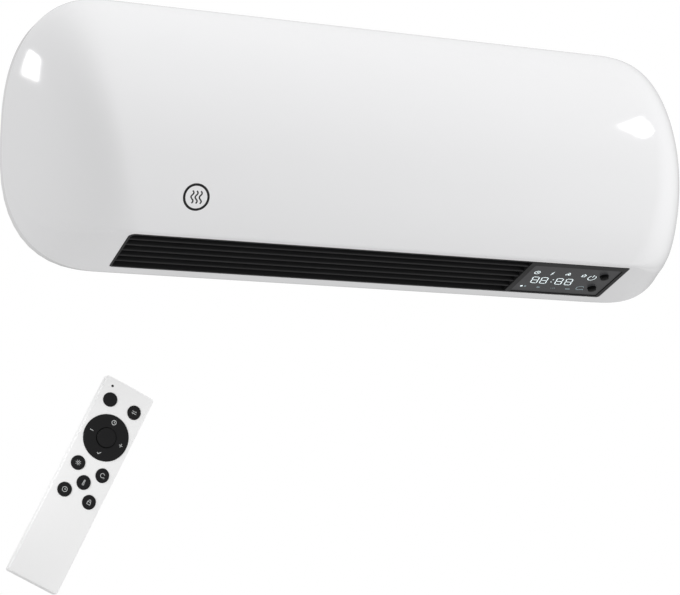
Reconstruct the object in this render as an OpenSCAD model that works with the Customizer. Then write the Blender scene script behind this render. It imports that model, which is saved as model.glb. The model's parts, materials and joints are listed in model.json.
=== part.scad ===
// Bathroom wall fan heater and its hand remote, in millimetres.
// +Z is up, the front faces -Y and the wall is the plane Y = 0.
// The origin is the centre of the wall bracket's four screw holes.
// "Depth" always means the distance out from the wall, along -Y.

/* [Body] */
// Overall width of the heater
body_w = 560; // [540:5:600]
// Overall height of the heater
body_h = 203; // [199:1:209]
// Depth of the straight rim behind the front curve
rim_d = 18; // [17:0.5:19]
// Depth at which the top starts to curve down
crown_d = 26; // [25:0.5:27]
// How much higher the rim's foot lies at its back
foot_rise = 2; // [1.5:0.1:2.5]
// Depth of the rim at either tip
tip_d = 10; // [9.6:0.2:13]
// Depth of the lower front edge, where the front meets the underside
edge_d = 83.5; // [82:0.5:87]
// How far that edge lies below the middle
edge_drop = 81.7; // [80:0.1:83]
// Straight pull of the front curve at the top
crown_pull = 17; // [14:1:19]
// Straight pull of the front curve at the lower edge
belly_pull = 91.6; // [88:0.1:98]
// Angle at which the front leaves the lower edge
belly_angle = 50; // [47:1:54]
// Rounding of the lower front edge along the outlet
edge_soft = 2; // [1.6:0.1:2.4]
// Rounding of that edge at either tip
edge_tip = 40; // [30:1:46]
// Wall of the front cover
cover_t = 2.5; // [2:0.1:3]

/* [Ends] */
// Length of the outline's rounded end
end_round = 76; // [72:1:80]
// Power of the rounded end, where 2 is an ellipse
end_power = 2.6; // [2.3:0.05:3]
// Height of the body's widest point
waist_z = -5; // [-10:0.5:0]
// Length of the sloping end face at the lower edge
slope_low = 86; // [84:1:90]
// Length of the sloping end face at the top
slope_top = 53; // [40:1:58]
// How fast that length changes with height
slope_mix = 0.52; // [0.4:0.02:0.8]
// Power of the end slope at the lower edge
bend_low = 1.8; // [1.5:0.05:2]
// Power of the end slope at the top
bend_top = 2.7; // [2.2:0.05:2.9]

/* [Rear housing] */
// Wall of the rear housing
housing_t = 2.5; // [2:0.1:3]
// Depth of the bay behind the housing, which hides the bracket
bay_d = 9; // [8.5:0.5:11]
// Width of the rim round that bay
bay_rim = 12; // [11:0.5:14]
// Thickness of the rubber pads that meet the wall
pad_t = 1; // [0.8:0.1:1.5]
// Radius of a pad
pad_r = 4; // [3:0.5:4.5]
// Depth that the housing's side wall reaches to, inside the cover
skirt_d = 15; // [14:0.5:16]

/* [Mounting] */
// Width between the bracket's screw holes
hole_span_x = 240; // [200:5:260]
// Height between the bracket's screw holes
hole_span_z = 50; // [40:1:60]
// Radius of a screw hole
hole_r = 2.75; // [2.5:0.05:3.2]
// Sheet thickness of the bracket
bracket_t = 1.6; // [1.2:0.1:2]
// Bracket left beyond the holes on every side
bracket_margin = 18; // [14:1:22]
// Width of a hanging hook
hook_w = 22; // [18:1:28]
// Distance between the two hooks
hook_span = 180; // [150:5:190]
// Height of a hook's lip
hook_lip = 12; // [10:1:14]

/* [Outlet] */
// Distance from the opening in the underside to either end of the body
outlet_side = 77.5; // [74:0.5:81]
// Length of the opening, front to back
outlet_l = 54.8; // [53:0.2:57]
// Strip left in front of the opening
outlet_strip = 4.4; // [4:0.1:5]
// Corner radius of the opening
outlet_r = 2.5; // [2:0.5:4]
// Depth of the grille frame
grille_t = 9; // [8.5:0.1:9.5]
// Wall of the grille frame
frame_t = 1.6; // [1.4:0.1:2]
// Number of slats
slat_n = 5; // [4:1:6]
// Thickness of a slat at its lip
slat_t = 1.7; // [1.4:0.1:2]
// Number of stiffening ribs behind the slats
rib_n = 3; // [2:1:4]

/* [Control panel] */
// Width of the control panel with its frame
panel_w = 84; // [80:1:88]
// Width of the bar between the louvres and the panel
bar_w = 4.6; // [3.6:0.2:5.6]
// Extra width of the frame in front of the panel
panel_front = 4.9; // [4:0.1:5.6]
// Extra width of the frame at the panel's end
panel_end = 1.6; // [1:0.1:2.2]
// Thickness of the fascia
fascia_t = 2; // [1.6:0.1:2.2]
// Set-back of the fascia inside its frame
fascia_inset = 0.6; // [0.4:0.1:0.8]
// Radius of a touch button
button_r = 3.3; // [3:0.1:3.6]
// How far a touch button stands out of the fascia
button_proud = 3; // [2.4:0.1:3.4]
// Radius of its domed end
dome_r = 7.3; // [6:0.1:9]
// Travel of a touch button
button_travel = 0.8; // [0.5:0.1:1]
// Distance of the buttons from the panel's right end
button_in = 14; // [13:0.2:16]
// Distance of the front button from the panel's front edge
button_first = 18.4; // [17.4:0.2:20]
// Distance between the two buttons
button_pitch = 21.2; // [18:0.1:22]
// Thickness of the circuit boards
board_t = 1.6; // [1.2:0.1:2]

/* [Fan] */
// Radius of the fan rotor
rotor_r = 27; // [25:0.5:28]
// Depth of the rotor's axis
rotor_d = 50; // [48:0.5:52]
// Height of the rotor's axis
rotor_z = 2; // [0:0.5:6]
// Number of blades
blade_n = 24; // [18:1:30]
// Radial length of a blade
blade_l = 5; // [4:0.5:6]
// Thickness of a blade
blade_t = 0.9; // [0.8:0.1:1.2]
// Number of discs that carry the blades
disc_n = 7; // [5:1:9]
// Thickness of a disc
disc_t = 2; // [1.5:0.1:2.5]
// Radius of the shaft
shaft_r = 3; // [2.5:0.1:3.5]
// Radius of the motor
motor_r = 28; // [26:0.5:29]
// Length of the motor
motor_l = 32; // [28:1:36]
// Wall of the air duct
duct_t = 2; // [1.6:0.1:2.5]
// Gap between rotor and duct where the duct starts
duct_gap = 4; // [3.5:0.5:5]

/* [Heating element] */
// Height of one row of fins
fin_h = 12; // [11:0.2:12.2]
// Pitch of the folded fins
fin_pitch = 4.8; // [4:0.1:6]
// Thickness of the fin foil
foil_t = 0.5; // [0.4:0.05:0.7]
// Thickness of a ceramic bar
bar_t = 4; // [3.4:0.1:4.4]
// Thickness of the element along the air stream
element_t = 12; // [11:0.5:13]

/* [Intake] */
// Distance from the intake in the top to either end of the body
intake_side = 100; // [92:1:114]
// Length of the intake, back to front
intake_l = 20; // [18:0.5:21]
// Depth at which the intake opening starts
intake_d = 7; // [6:0.5:8]
// Width of an intake slot
slot_w = 4; // [3:0.2:4.4]
// Pitch of the intake slots
slot_pitch = 8; // [7:0.2:9]

/* [Cord inlet] */
// Distance of the cord inlet from the right end
inlet_in = 48; // [46:1:50]
// Height of the cord inlet
inlet_z = -30; // [-34:1:-26]
// Radius of the hole for the cord
cord_r = 3.7; // [3.2:0.1:4]

/* [Remote] */
// Width of the remote
remote_w = 39.6; // [39.2:0.1:42]
// Length of the remote
remote_l = 155.5; // [152:0.5:160]
// Thickness at its long edges
remote_edge = 8.2; // [8:0.1:9]
// Thickness along its middle
remote_mid = 10.2; // [10:0.1:11]
// Wall of the remote's shells
remote_t = 1.6; // [1.4:0.1:1.8]
// Tilt of the remote on the wall
remote_tilt = 26.3; // [0:0.1:45]
// Sideways place of the remote's middle
remote_x = -212.3; // [-240:0.1:-180]
// Height of the remote's middle
remote_z = -253.4; // [-300:0.1:-240]
// Radius of a small key
key_r = 5; // [4.8:0.1:5.4]
// Outer radius of the ring key
ring_r = 16.8; // [16:0.1:17]
// Radius of the centre key
centre_r = 7; // [6.8:0.1:7.6]
// Travel of a key
key_travel = 0.7; // [0.4:0.05:0.8]
// Radius of the coin cell
cell_r = 10; // [9.8:0.1:10.2]
// Thickness of the coin cell
cell_t = 3.2; // [2.5:0.1:3.2]

/* [Fits] */
// Gap between snapped or screwed mouldings
fit = 0.3; // [0.2:0.05:0.4]
// Radial running clearance of the shaft
run = 0.05; // [0.03:0.01:0.08]
// Clearance of a piece pressed home
press = 0.02; // [0.01:0.01:0.04]
// Thread radius of the small screws
screw_r = 1.4; // [1.3:0.05:1.6]

/* [Hidden] */
$fn = 48;
eps = 0.01;
over = 1;

// ---- Derived sizes: body ----
half_w = body_w / 2;
top_z = body_h / 2;
foot_z = top_z - foot_rise;
round_x = half_w - end_round;
under_angle = atan((top_z - edge_drop) / (edge_d - rim_d));
flange_d = pad_t + housing_t;
flange_in = 0.6;
cover_back = flange_d + fit;
back_wall_d = bay_d + housing_t;
outlet_w = body_w - 2 * outlet_side;
intake_w = body_w - 2 * intake_side;
curve_steps = 22;
under_steps = 4;
edge_steps = 4;
tip_power = 4;
skirt_tip = [22, 1];
low_steps = 3;
end_steps = 12;
end_turn = 88;

// ---- Derived sizes: outlet, in the frame of the underside ----
outlet_v0 = outlet_strip;
outlet_v1 = outlet_strip + outlet_l;
outlet_x0 = -outlet_w / 2;
outlet_x1 = outlet_w / 2;
split_x = outlet_x1 - panel_w;
louvre_x0 = outlet_x0 + fit + frame_t;
louvre_x1 = split_x - frame_t / 2;
louvre_v0 = outlet_v0 + fit + frame_t;
louvre_v1 = outlet_v1 - fit - frame_t;
slat_pitch = (louvre_v1 - louvre_v0 + slat_t) / (slat_n + 1);
slat_lip = 0.4;
slat_inset = 0.6;
slat_back = grille_t - slat_inset;
slat_taper = 0.25;
rib_t = 1.6;
rib_front = 5;

// ---- Derived sizes: control panel ----
seat_play = 0.2;
fascia_r = 1;
pocket_x0 = louvre_x1 + bar_w;
pocket_x1 = outlet_x1 - fit - frame_t - panel_end;
pocket_v0 = louvre_v0 + panel_front;
pocket_d = fascia_inset + fascia_t + seat_play;
ledge = 3;
button_x = outlet_x1 - button_in;
button_v = [outlet_v0 + button_first, outlet_v0 + button_first + button_pitch];
fascia_back = fascia_inset + fascia_t;
stem_l = 0.8;
cap_lip = 1.2;
cap_lip_t = 0.9;
switch_top = fascia_back + fit + cap_lip_t + stem_l + button_travel + fit;
switch_w = 6;
plunger_l = 1;
plunger_r = 1.6;
board_n = grille_t + fit;
box_wall = 2;
box_gap = 3;
box_x0 = pocket_x0 + ledge + fit;
box_x1 = button_x - button_r - cap_lip - box_gap;
box_v0 = pocket_v0 + ledge + fit;
box_v1 = louvre_v1 - ledge - fit;
box_mid = [(box_x0 + box_x1) / 2, (box_v0 + box_v1) / 2];
digits_h = 14;
digits_w = 40;
digits_set = 1;
icon_h = 5;
icon_gap = 3;
icon_n = 4;
receiver_w = 5.2;
receiver_h = 6;
receiver_t = 3;
lens_r = 2.3;
lens_t = 2;

// ---- Derived sizes: fan and duct ----
plate_t = 2.5;
duct_x0 = louvre_x0 + frame_t;
duct_x1 = louvre_x1 - frame_t;
rotor_play = 4;
rotor_x0 = duct_x0 + rotor_play;
rotor_x1 = duct_x1 - rotor_play;
hub_r = 8;
hub_wall = 2;
hub_play = 1;
blade_root = 0.4;
blade_steps = 4;
blade_lean = 15;
blade_bow = 2;
disc_rim = 3;
hub_l = 14;
bush_l = 8;
bush_r = 8;
rubber_r = 13;
seat_r = 17;
motor_gap = 4;
motor_x0 = duct_x1 + plate_t + motor_gap;
nose_l = 3;
nose_r = 9;
vent_r = 3;
vent_at = 19;
motor_x1 = motor_x0 + motor_l;
sleeve_t = 2;
ring_t = 3.5;
bracket_w = 12;
motor_mid = (motor_x0 + motor_x1) / 2;
shaft_end = motor_x1 + nose_l + 2;
stub_end = duct_x0 - bush_l;
scroll_from = 130;
scroll_to = 225;
scroll_grow = 5;
scroll_steps = 16;
duct_rise = 4;
tongue_gap = 3;
tongue_turn = -35;
tongue_l = 4;
tongue_low = 2;
tongue_soft = 0.6;
side_top = 36;
side_front = [[64, 36], [79, 8], [79, -38]];
side_foot = -72;
bracket_half = 14;

// ---- Derived sizes: heating element, in the frame of the underside ----
rail_t = 0.8;
stack_l = 3 * fin_h + 2 * bar_t;
stack_v0 = (outlet_v0 + outlet_v1 - stack_l) / 2;
stack_gap = 4;
stack_n0 = grille_t + stack_gap;
stack_n1 = stack_n0 + element_t;
stack_x0 = duct_x0 + stack_gap;
stack_x1 = duct_x1 - stack_gap;
bar_out = 2;
bar_in = 1;
grip_l = 10;
grip_t = 1.5;
grip_gap = 0.1;
fin_in = 3;
fin_x0 = duct_x0 + grip_l + fin_in;
fin_x1 = duct_x1 - grip_l - fin_in;
cutout_r = 8;
cutout_t = 5;
cutout_d = 50;
cutout_z = -47;
cutout_rim = 1;
tag_l = 7;
tag_w = 3;
tag_t = 1;
tag_at = 4;
fuse_r = 1.6;

// ---- Derived sizes: intake ----
intake_d1 = intake_d + intake_l;
slot_n = floor((intake_w - 2 * slot_pitch) / slot_pitch);
slot_margin = 2.2;
cut_h = 12;
filter_t = 2.6;
filter_drop = 16;
filter_z = top_z - filter_drop;
filter_in = 5;
filter_w = intake_w - 2 * filter_in;
filter_d0 = back_wall_d + fit;
filter_l = 20;
filter_d1 = filter_d0 + filter_l;
filter_rim = 2;
mesh_pitch = 6.2;
mesh_bar = 0.9;
rail_w = 4;
lug_l = 3;
lug_t = 1.5;
lug_drop = 0.2;
lug_d = [intake_d + 2, rim_d - 1];
lug_z = top_z - cover_t - lug_drop - lug_t;
rail_lip = 1.6;

// ---- Derived sizes: electronics, cord inlet and screws ----
pcb_gap = 9;
pcb_w = 58;
pcb_h = 98;
pcb_x0 = motor_x1 + pcb_gap;
pcb_x1 = pcb_x0 + pcb_w;
pcb_z0 = -40;
pcb_z1 = pcb_z0 + pcb_h;
coil_at = [12, 66];
coil_size = [24, 20, 17];
film_at = [42, 60];
film_size = [8, 14, 9];
can_at = [20, 56];
can_r = 5;
can_h = 16;
chip_at = [32, 44];
chip_size = [6, 6, 5];
relay_at = [[8, 18], [8, 36]];
relay_size = [19, 15, 15];
block_at = [10, 3];
block_size = [36, 11, 12];
clamp_hole_r = 2.2;
clamp_hole_l = 6;
clamp_n = 4;
post_h = 7.5;
post_r = 3.4;
post_in = 5;
pcb_d = back_wall_d + post_h;
inlet_x = half_w - inlet_in;
gland_r = cord_r + 2.2;
gland_flange_r = gland_r + 2.4;
gland_flange_t = 1.7;
gland_in = 5;
channel_play = 0.9;
channel_w = 2 * (cord_r + channel_play);
channel_d = bay_d - 1;
clamp_drop = 17;
clamp_z = inlet_z - clamp_drop;
clamp_bite = 2;
hole_play = 0.2;
clamp_span = 16;
clamp_t = 3;
clamp_w = 8;
clamp_post_h = 8;
boss_r = 4;
boss_d0 = back_wall_d;
head_r = 3;
head_t = 1.8;
screw_l = 11;
boss_bore_l = 16;
boss_in = [37, 33];
boss_high = [55.5, 57.5];
boss_low = [49.5, 35.5];
boss_top = 37.5;
boss_along = [-100, 60];
cover_boss = concat(
    [for (i = [0, 1], z = [top_z - boss_high[i], boss_low[i] - top_z])
        [(2 * i - 1) * (half_w - boss_in[i]), z]],
    [for (x = boss_along) [x, top_z - boss_top]]);
tab_w = 12;
tab_l = 13;
tab_z = [22, -58];
pcb_posts = [for (x = [pcb_x0 + post_in, pcb_x1 - post_in])
    for (z = [pcb_z0 + post_in, pcb_z1 - post_in]) [x, z]];
clamp_posts = [for (s = [-1, 1]) [inlet_x + s * clamp_span / 2, clamp_z]];
foot_in = 6;
foot_gap = 4;
bracket_foot_z = [for (s = [1, -1]) rotor_z + s * (motor_r + ring_t + foot_gap)];
board_screw_l = 6;
clamp_screw_l = 7;
screw_play = 0.1;
wire_r = 1;
wire_at = [20, 34];
wire_drop = 14;
wire_foot = 8;
wire_bend = [[10, 2, 6], [5, 6, 4]];
wire_out = 20;
wire_sides = 8;
wire_up = [1, 2, 3];

// ---- Derived sizes: wall bracket ----
plate_x = hole_span_x / 2 + bracket_margin;
plate_z = hole_span_z / 2 + bracket_margin;
hook_z = 30;
hook_clear = 0.2;
lip_gap = 1.2;
window_margin = 2;
window_drop = 4;
plate_r = 6;
bead_in = 14;
bead_z = 12;
bead_w = 4;
bead_t = 1;
pad_in = bay_rim / 2 + 1;
pad_back = 30;
pad_x = round_x - pad_back;

// ---- Derived sizes: remote ----
split_h = 4;
half_rw = remote_w / 2;
half_rl = remote_l / 2;
arch_power = 2.4;
arch_steps = 16;
corner_r = 1.5;
key_proud = 0.6;
centre_proud = 0.2;
key_gap = 0.3;
key_rest = 2;
key_low = split_h + key_rest;
lip_w = 1;
lip_t = 1;
rboard_t = 1;
mat_t = 1;
mat_y0 = half_rl - 97.75;
board_foot = 33;
board_y0 = board_foot - half_rl;
board_y1 = half_rl - 4;
board_in = 3.5;
tray_l = 30;
tray_side = 2.5;
tray_w = 2 * (cell_r + tray_side);
rail_wall = 1.2;
post_x = 12;
post_rr = 2.5;
post_y = [board_y0 + 4, board_y1 - 6];
tray_z0 = 1.7;
tray_floor = 0.8;
cell_play = 0.2;
tray_z1 = tray_z0 + tray_floor + cell_t + cell_play;
tray_gap = 0.2;
tray_nose = 3.5;
grip_r = 2.5;
grip_at = 2;
cell_rim = [1, 0.6];
contact_x = 6;
contact_w = 3;
contact_t = 0.4;
contact_l = 14;
contact_in = 2;
cell_y = -half_rl + tray_nose + cell_r;
pair_x = 10.1;
row_in = [15.55, 66.65, 77.35, 87.85];
row_y = [for (d = row_in) half_rl - d];
key_places = [[-pair_x, row_y[0]], [pair_x, row_y[0]], [-pair_x, row_y[1]], [pair_x, row_y[1]],
    [0, row_y[2]], [-pair_x, row_y[3]], [pair_x, row_y[3]]];
ring_y = half_rl - 41.35;
led_place = [6.7 - half_rw, half_rl - 5.95];
led_r = 0.9;
window_w = 12;
window_z0 = 2.4;
window_z1 = 7;

// ---- Colours ----
white = "white";
black = [0.08, 0.08, 0.09];
grey = [0.25, 0.26, 0.27];
steel = [0.7, 0.72, 0.74];
copper = [0.75, 0.45, 0.25];
green = [0.1, 0.35, 0.2];

// ---- Functions ----
function lerp(a, b, t) = a + (b - a) * t;
function unit(v) = v / norm(v);
function clamp01(t) = max(0, min(1, t));
function bezier(p, t) = p[0] * pow(1 - t, 3) + 3 * p[1] * pow(1 - t, 2) * t
    + 3 * p[2] * (1 - t) * t * t + p[3] * pow(t, 3);
function bezier_slope(p, t) = 3 * (p[1] - p[0]) * pow(1 - t, 2)
    + 6 * (p[2] - p[1]) * (1 - t) * t + 3 * (p[3] - p[2]) * t * t;

// The front curve in (depth, height): from the top of the rim to the lower edge.
front_curve = [[crown_d, top_z], [crown_d + crown_pull, top_z],
    [edge_d + belly_pull * cos(belly_angle), -edge_drop + belly_pull * sin(belly_angle)],
    [edge_d, -edge_drop]];

// A point of that curve, moved in square to it by the wall w.
function front_point(t, w) = let (s = bezier_slope(front_curve, t), l = norm(s))
    bezier(front_curve, t) - w * [-s[1], s[0]] / l;

// Curve of the rounded lower edge: it leaves the front at the share t along its tangent.
function edge_curve(w, t) = let (low = front_point(1, w), last = front_point(t, w),
    way = bezier_slope(front_curve, t), under = unit([rim_d, w - top_z] - low), gap = last - low,
    mid = low + under * (gap[0] * way[1] - gap[1] * way[0])
        / (under[0] * way[1] - under[1] * way[0]))
    [last, mid, mid + under * norm(mid - last)];

// One closed section of the body, in (depth, height), from the back at depth b.
// Its lower front edge is rounded over the length e.
function section(w, b, e) = let (last = 1 - e / (3 * belly_pull), q = edge_curve(w, last))
    concat([[b, top_z - w]],
        [for (i = [0:curve_steps]) front_point(last * i / curve_steps, w)],
        [for (i = [1:edge_steps]) let (t = i / edge_steps)
            lerp(lerp(q[0], q[1], t), lerp(q[1], q[2], t), t)],
        [for (i = [1:under_steps]) lerp(q[2], [rim_d, w - top_z], i / under_steps)],
        [[b, w - top_z + foot_rise * (rim_d - b) / (rim_d - cover_back)]]);

// Rounding of the lower front edge at the sideways place x.
function edge_at(x, w) = let (t = clamp01((x - outlet_x1) / (half_w - w - outlet_x1)))
    lerp(edge_soft, edge_tip, t * t * (3 - 2 * t));

// Depth of the rim at the sideways place x.
function rim_at(x, w) = lerp(rim_d, tip_d,
    pow(clamp01((x - round_x) / (end_round - w)), tip_power));

// Share of the height that is left at the sideways place x.
function height_keep(x, w) = let (u = clamp01((x - round_x) / (end_round - w)))
    pow(1 - pow(u, end_power), 1 / end_power);

// Share of the depth beyond the rim that is left at x, at the height share h.
function depth_keep(x, w, h) = let (x0 = half_w - lerp(slope_low, slope_top, pow(h, slope_mix)),
    t = clamp01((x - x0) / (half_w - w - x0))) 1 - pow(t, lerp(bend_low, bend_top, h));

function height_share(z) = clamp01((z + edge_drop) / (top_z + edge_drop));

// A section's point carried to the sideways place x, with side +1 or -1.
function body_point(p, x, w, side) = let (s = height_keep(x, w), rim = rim_at(x, w),
    k = depth_keep(x, w, height_share(p[1])),
    d = p[0] > rim_d ? rim + (p[0] - rim_d) * k
        : lerp(cover_back, rim, (p[0] - cover_back) / (rim_d - cover_back)))
    [side * x, -d, waist_z + (p[1] - waist_z) * s];

// Sideways places of the sections, from the middle part out to the tip.
function stations(w) = concat(
    [for (i = [0:low_steps - 1]) lerp(half_w - slope_low, round_x, i / low_steps)],
    [for (i = [0:end_steps]) round_x
        + (end_round - w) * pow(sin(end_turn * i / end_steps), 2 / end_power)]);

// The body's outline on the wall, inset by w, in (x, z).
function outline(w) = let (q = 2 / end_power,
    quarter = [for (i = [0:end_steps]) let (a = 90 * i / end_steps)
        [round_x + (end_round - w) * pow(sin(a), q), pow(cos(a), q)]])
    concat(
        [for (i = [0:end_steps]) [quarter[i][0], lerp(waist_z, top_z - w, quarter[i][1])]],
        [for (i = [1:end_steps]) let (p = quarter[end_steps - i])
            [p[0], lerp(waist_z, w - foot_z, p[1])]],
        [for (i = [0:end_steps]) [-quarter[i][0], lerp(waist_z, w - foot_z, quarter[i][1])]],
        [for (i = [1:end_steps]) let (p = quarter[end_steps - i])
            [-p[0], lerp(waist_z, top_z - w, p[1])]]);

// Height of the remote's arched top at the sideways place x.
function arch(x) = remote_edge + (remote_mid - remote_edge)
    * (1 - pow(abs(x) / half_rw, arch_power));

// Radius of the scroll at the share t of its turn.
function scroll_radius(t) = rotor_r + duct_gap + scroll_grow * t;
function yz(d, z) = [-d, z];
// A point given in the underside's frame, turned into (y, z).
function under_point(v, n) = [-edge_d + v * cos(under_angle) + n * sin(under_angle),
    -edge_drop - v * sin(under_angle) + n * cos(under_angle)];

// ---- Helpers ----
module from_wall(d0, d1) {
    translate([0, -d0, 0]) rotate([90, 0, 0]) linear_extrude(d1 - d0) children();
}
module wall_rod(x, z, d0, d1, r) {
    translate([x, -d0, z]) rotate([90, 0, 0]) cylinder(h = d1 - d0, r = r);
}
module along_x(x0, x1) {
    translate([x0, 0, 0]) rotate([90, 0, 90]) linear_extrude(x1 - x0) children();
}
module rod_x(x0, x1, r) {
    translate([x0, -rotor_d, rotor_z]) rotate([0, 90, 0]) cylinder(h = x1 - x0, r = r);
}
module block(a, b) {
    translate(a) cube(b - a);
}
module on_underside() {
    translate([0, -edge_d, -edge_drop]) rotate([-under_angle, 0, 0]) children();
}
module rounded(a, b, r) {
    translate([a[0] + r, a[1]]) square([b[0] - a[0] - 2 * r, b[1] - a[1]]);
    translate([a[0], a[1] + r]) square([b[0] - a[0], b[1] - a[1] - 2 * r]);
    for (x = [a[0] + r, b[0] - r], y = [a[1] + r, b[1] - r]) translate([x, y]) circle(r);
}
module body_solid(w, b) {
    n = len(section(w, b, edge_soft));
    side = stations(w);
    m = len(side);
    xs = concat([for (i = [m - 1:-1:0]) [side[i], -1]], [for (i = [0:m - 1]) [side[i], 1]]);
    points = [for (s = xs) for (p = section(w, b, edge_at(s[0], w))) body_point(p, s[0], w, s[1])];
    skin = [for (i = [0:len(xs) - 2]) for (j = [0:n - 1]) let (k = (j + 1) % n, a = i * n, b = a + n)
        for (f = [[a + j, b + k, a + k], [a + j, b + j, b + k]]) f];
    caps = [[for (j = [0:n - 1]) j], [for (j = [n - 1:-1:0]) (len(xs) - 1) * n + j]];
    polyhedron(points, concat(skin, caps), convexity = 6);
}
module screw(l) {
    cylinder(h = l, r = screw_r);
    translate([0, 0, -head_t]) cylinder(h = head_t, r = head_r);
}

// ---- Heater: shell ----
module front_cover() {
    color(white) difference() {
        body_solid(0, cover_back);
        difference() {
            body_solid(cover_t, cover_back - over);
            for (p = cover_boss) wall_rod(p[0], p[1], boss_d0, edge_d + belly_pull, boss_r);
        }
        for (p = cover_boss) wall_rod(p[0], p[1], boss_d0 - over, boss_d0 + boss_bore_l, screw_r);
        on_underside() linear_extrude(4 * cover_t, center = true)
            rounded([outlet_x0, outlet_v0], [outlet_x1, outlet_v1], outlet_r);
        block([-intake_w / 2, -intake_d1, top_z - cut_h], [intake_w / 2, -intake_d, top_z + over]);
        block([round_x + end_round / 2, -channel_d, inlet_z - channel_w / 2],
            [half_w + over, over, inlet_z + channel_w / 2]);
    }
}

module rear_housing() {
    port_w = hook_w + 2 * window_margin;
    port_z = hook_z + bracket_t + hook_clear;
    color(grey) difference() {
        union() {
            from_wall(pad_t, flange_d) polygon(outline(flange_in));
            from_wall(pad_t, skirt_d) polygon(outline(cover_t + fit));
        }
        from_wall(flange_d, skirt_d + over) difference() {
            polygon(outline(cover_t + fit + housing_t));
            polygon(outline(bay_rim));
        }
        from_wall(back_wall_d, skirt_d + over) polygon(outline(bay_rim - eps));
        for (s = [-1, 1]) translate([s * half_w, 0, 0]) block(
            [-skirt_tip[0], -skirt_d - over, -body_h], [skirt_tip[0], skirt_tip[1] - tip_d, body_h]);
        from_wall(-over, bay_d) polygon(outline(bay_rim + housing_t));
        for (s = [-1, 1]) block(
            [s * hook_span / 2 - port_w / 2, -back_wall_d - over, port_z - hook_lip - window_drop],
            [s * hook_span / 2 + port_w / 2, -bay_d + over, port_z]);
        for (p = cover_boss) wall_rod(p[0], p[1], bay_d - over, back_wall_d + over, screw_r + fit);
        wall_rod(inlet_x, inlet_z, bay_d - over, back_wall_d + over, gland_r);
        block([inlet_x, -channel_d, inlet_z - channel_w / 2], [half_w, 0, inlet_z + channel_w / 2]);
        block([-intake_w / 2 - lug_l - over, -skirt_d - over, top_z - bay_rim + over],
            [intake_w / 2 + lug_l + over, -flange_d - over, top_z + over]);
    }
    color(grey) {
        for (p = concat(pcb_posts, clamp_posts)) difference() {
            h = p[1] == clamp_z ? clamp_post_h : post_h;
            wall_rod(p[0], p[1], back_wall_d, back_wall_d + h, post_r);
            wall_rod(p[0], p[1], back_wall_d + over, back_wall_d + h + over, screw_r);
        }
        for (s = [-1, 1]) mirror([s > 0 ? 0 : 1, 0, 0]) difference() {
            block([filter_w / 2 - rail_lip, -filter_d1 - rail_lip, filter_z - rail_lip],
                [filter_w / 2 + rail_w - rail_lip, -back_wall_d, filter_z + filter_t + rail_lip]);
            block([filter_w / 2 - rail_lip - over, -filter_d1, filter_z - fit],
                [filter_w / 2 + fit, -back_wall_d + over, filter_z + filter_t + fit]);
        }
    }
}

module wall_bracket() {
    hook_d = back_wall_d + lip_gap;
    color(steel) difference() {
        union() {
            from_wall(0, bracket_t) rounded([-plate_x, -plate_z], [plate_x, plate_z], plate_r);
            for (s = [-1, 1]) translate([s * hook_span / 2 - hook_w / 2, 0, hook_z]) {
                block([0, -hook_d - bracket_t, 0], [hook_w, 0, bracket_t]);
                block([0, -hook_d - bracket_t, 0], [hook_w, -hook_d, hook_lip]);
            }
            for (s = [-1, 1]) block(
                [-hole_span_x / 2 + bead_in, -bracket_t - bead_t, s * bead_z - bead_w / 2],
                [hole_span_x / 2 - bead_in, -bracket_t, s * bead_z + bead_w / 2]);
        }
        for (x = [-1, 1], z = [-1, 1])
            wall_rod(x * hole_span_x / 2, z * hole_span_z / 2, -over, bracket_t + over, hole_r);
    }
}

module wall_pads() {
    color(black) for (x = [-pad_x, pad_x], z = [top_z - pad_in, pad_in - foot_z])
        wall_rod(x, z, 0, pad_t, pad_r);
}

module outlet_grille() {
    color(black) on_underside() {
        difference() {
            linear_extrude(grille_t) rounded([outlet_x0 + fit, outlet_v0 + fit],
                [outlet_x1 - fit, outlet_v1 - fit], outlet_r - fit);
            block([louvre_x0, louvre_v0, -over], [louvre_x1, louvre_v1, grille_t + over]);
            block([pocket_x0, pocket_v0, -over], [pocket_x1, louvre_v1, pocket_d]);
            block([pocket_x0 + ledge, pocket_v0 + ledge, 0],
                [pocket_x1 - ledge, louvre_v1 - ledge, grille_t + over]);
        }
        for (i = [1:slat_n]) let (v = louvre_v0 - slat_t + i * slat_pitch)
            along_x(louvre_x0 - eps, louvre_x1 + eps) polygon([[v, slat_lip], [v + slat_t, slat_lip],
                [v + slat_t - slat_taper, slat_back], [v + slat_taper, slat_back]]);
        for (i = [1:rib_n]) let (x = lerp(louvre_x0, louvre_x1, i / (rib_n + 1)))
            block([x - rib_t / 2, louvre_v0 - eps, rib_front], [x + rib_t / 2, louvre_v1 + eps, slat_back]);
    }
}

module intake_grille() {
    gx = intake_w / 2 - fit;
    color(white) {
        difference() {
            along_x(-gx, gx) intersection() {
                difference() {
                    polygon([for (p = section(0, cover_back, edge_soft)) [-p[0], p[1]]]);
                    polygon([for (p = section(cover_t, cover_back - over, edge_soft)) [-p[0], p[1]]]);
                }
                translate([-intake_d1 + fit, 0]) square([intake_l - 2 * fit, top_z]);
            }
            for (i = [0:slot_n - 1]) let (x = (i - (slot_n - 1) / 2) * slot_pitch)
                block([x - slot_w / 2, -intake_d1 + slot_margin, top_z - cut_h],
                    [x + slot_w / 2, -intake_d - slot_margin, top_z + over]);
        }
        for (s = [-1, 1]) mirror([s > 0 ? 0 : 1, 0, 0]) {
            block([gx - lug_l, -lug_d[1], lug_z], [gx, -lug_d[0], top_z - cover_t + eps]);
            block([gx - eps, -lug_d[1], lug_z], [gx + lug_l, -lug_d[0], lug_z + lug_t]);
        }
    }
}

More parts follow.
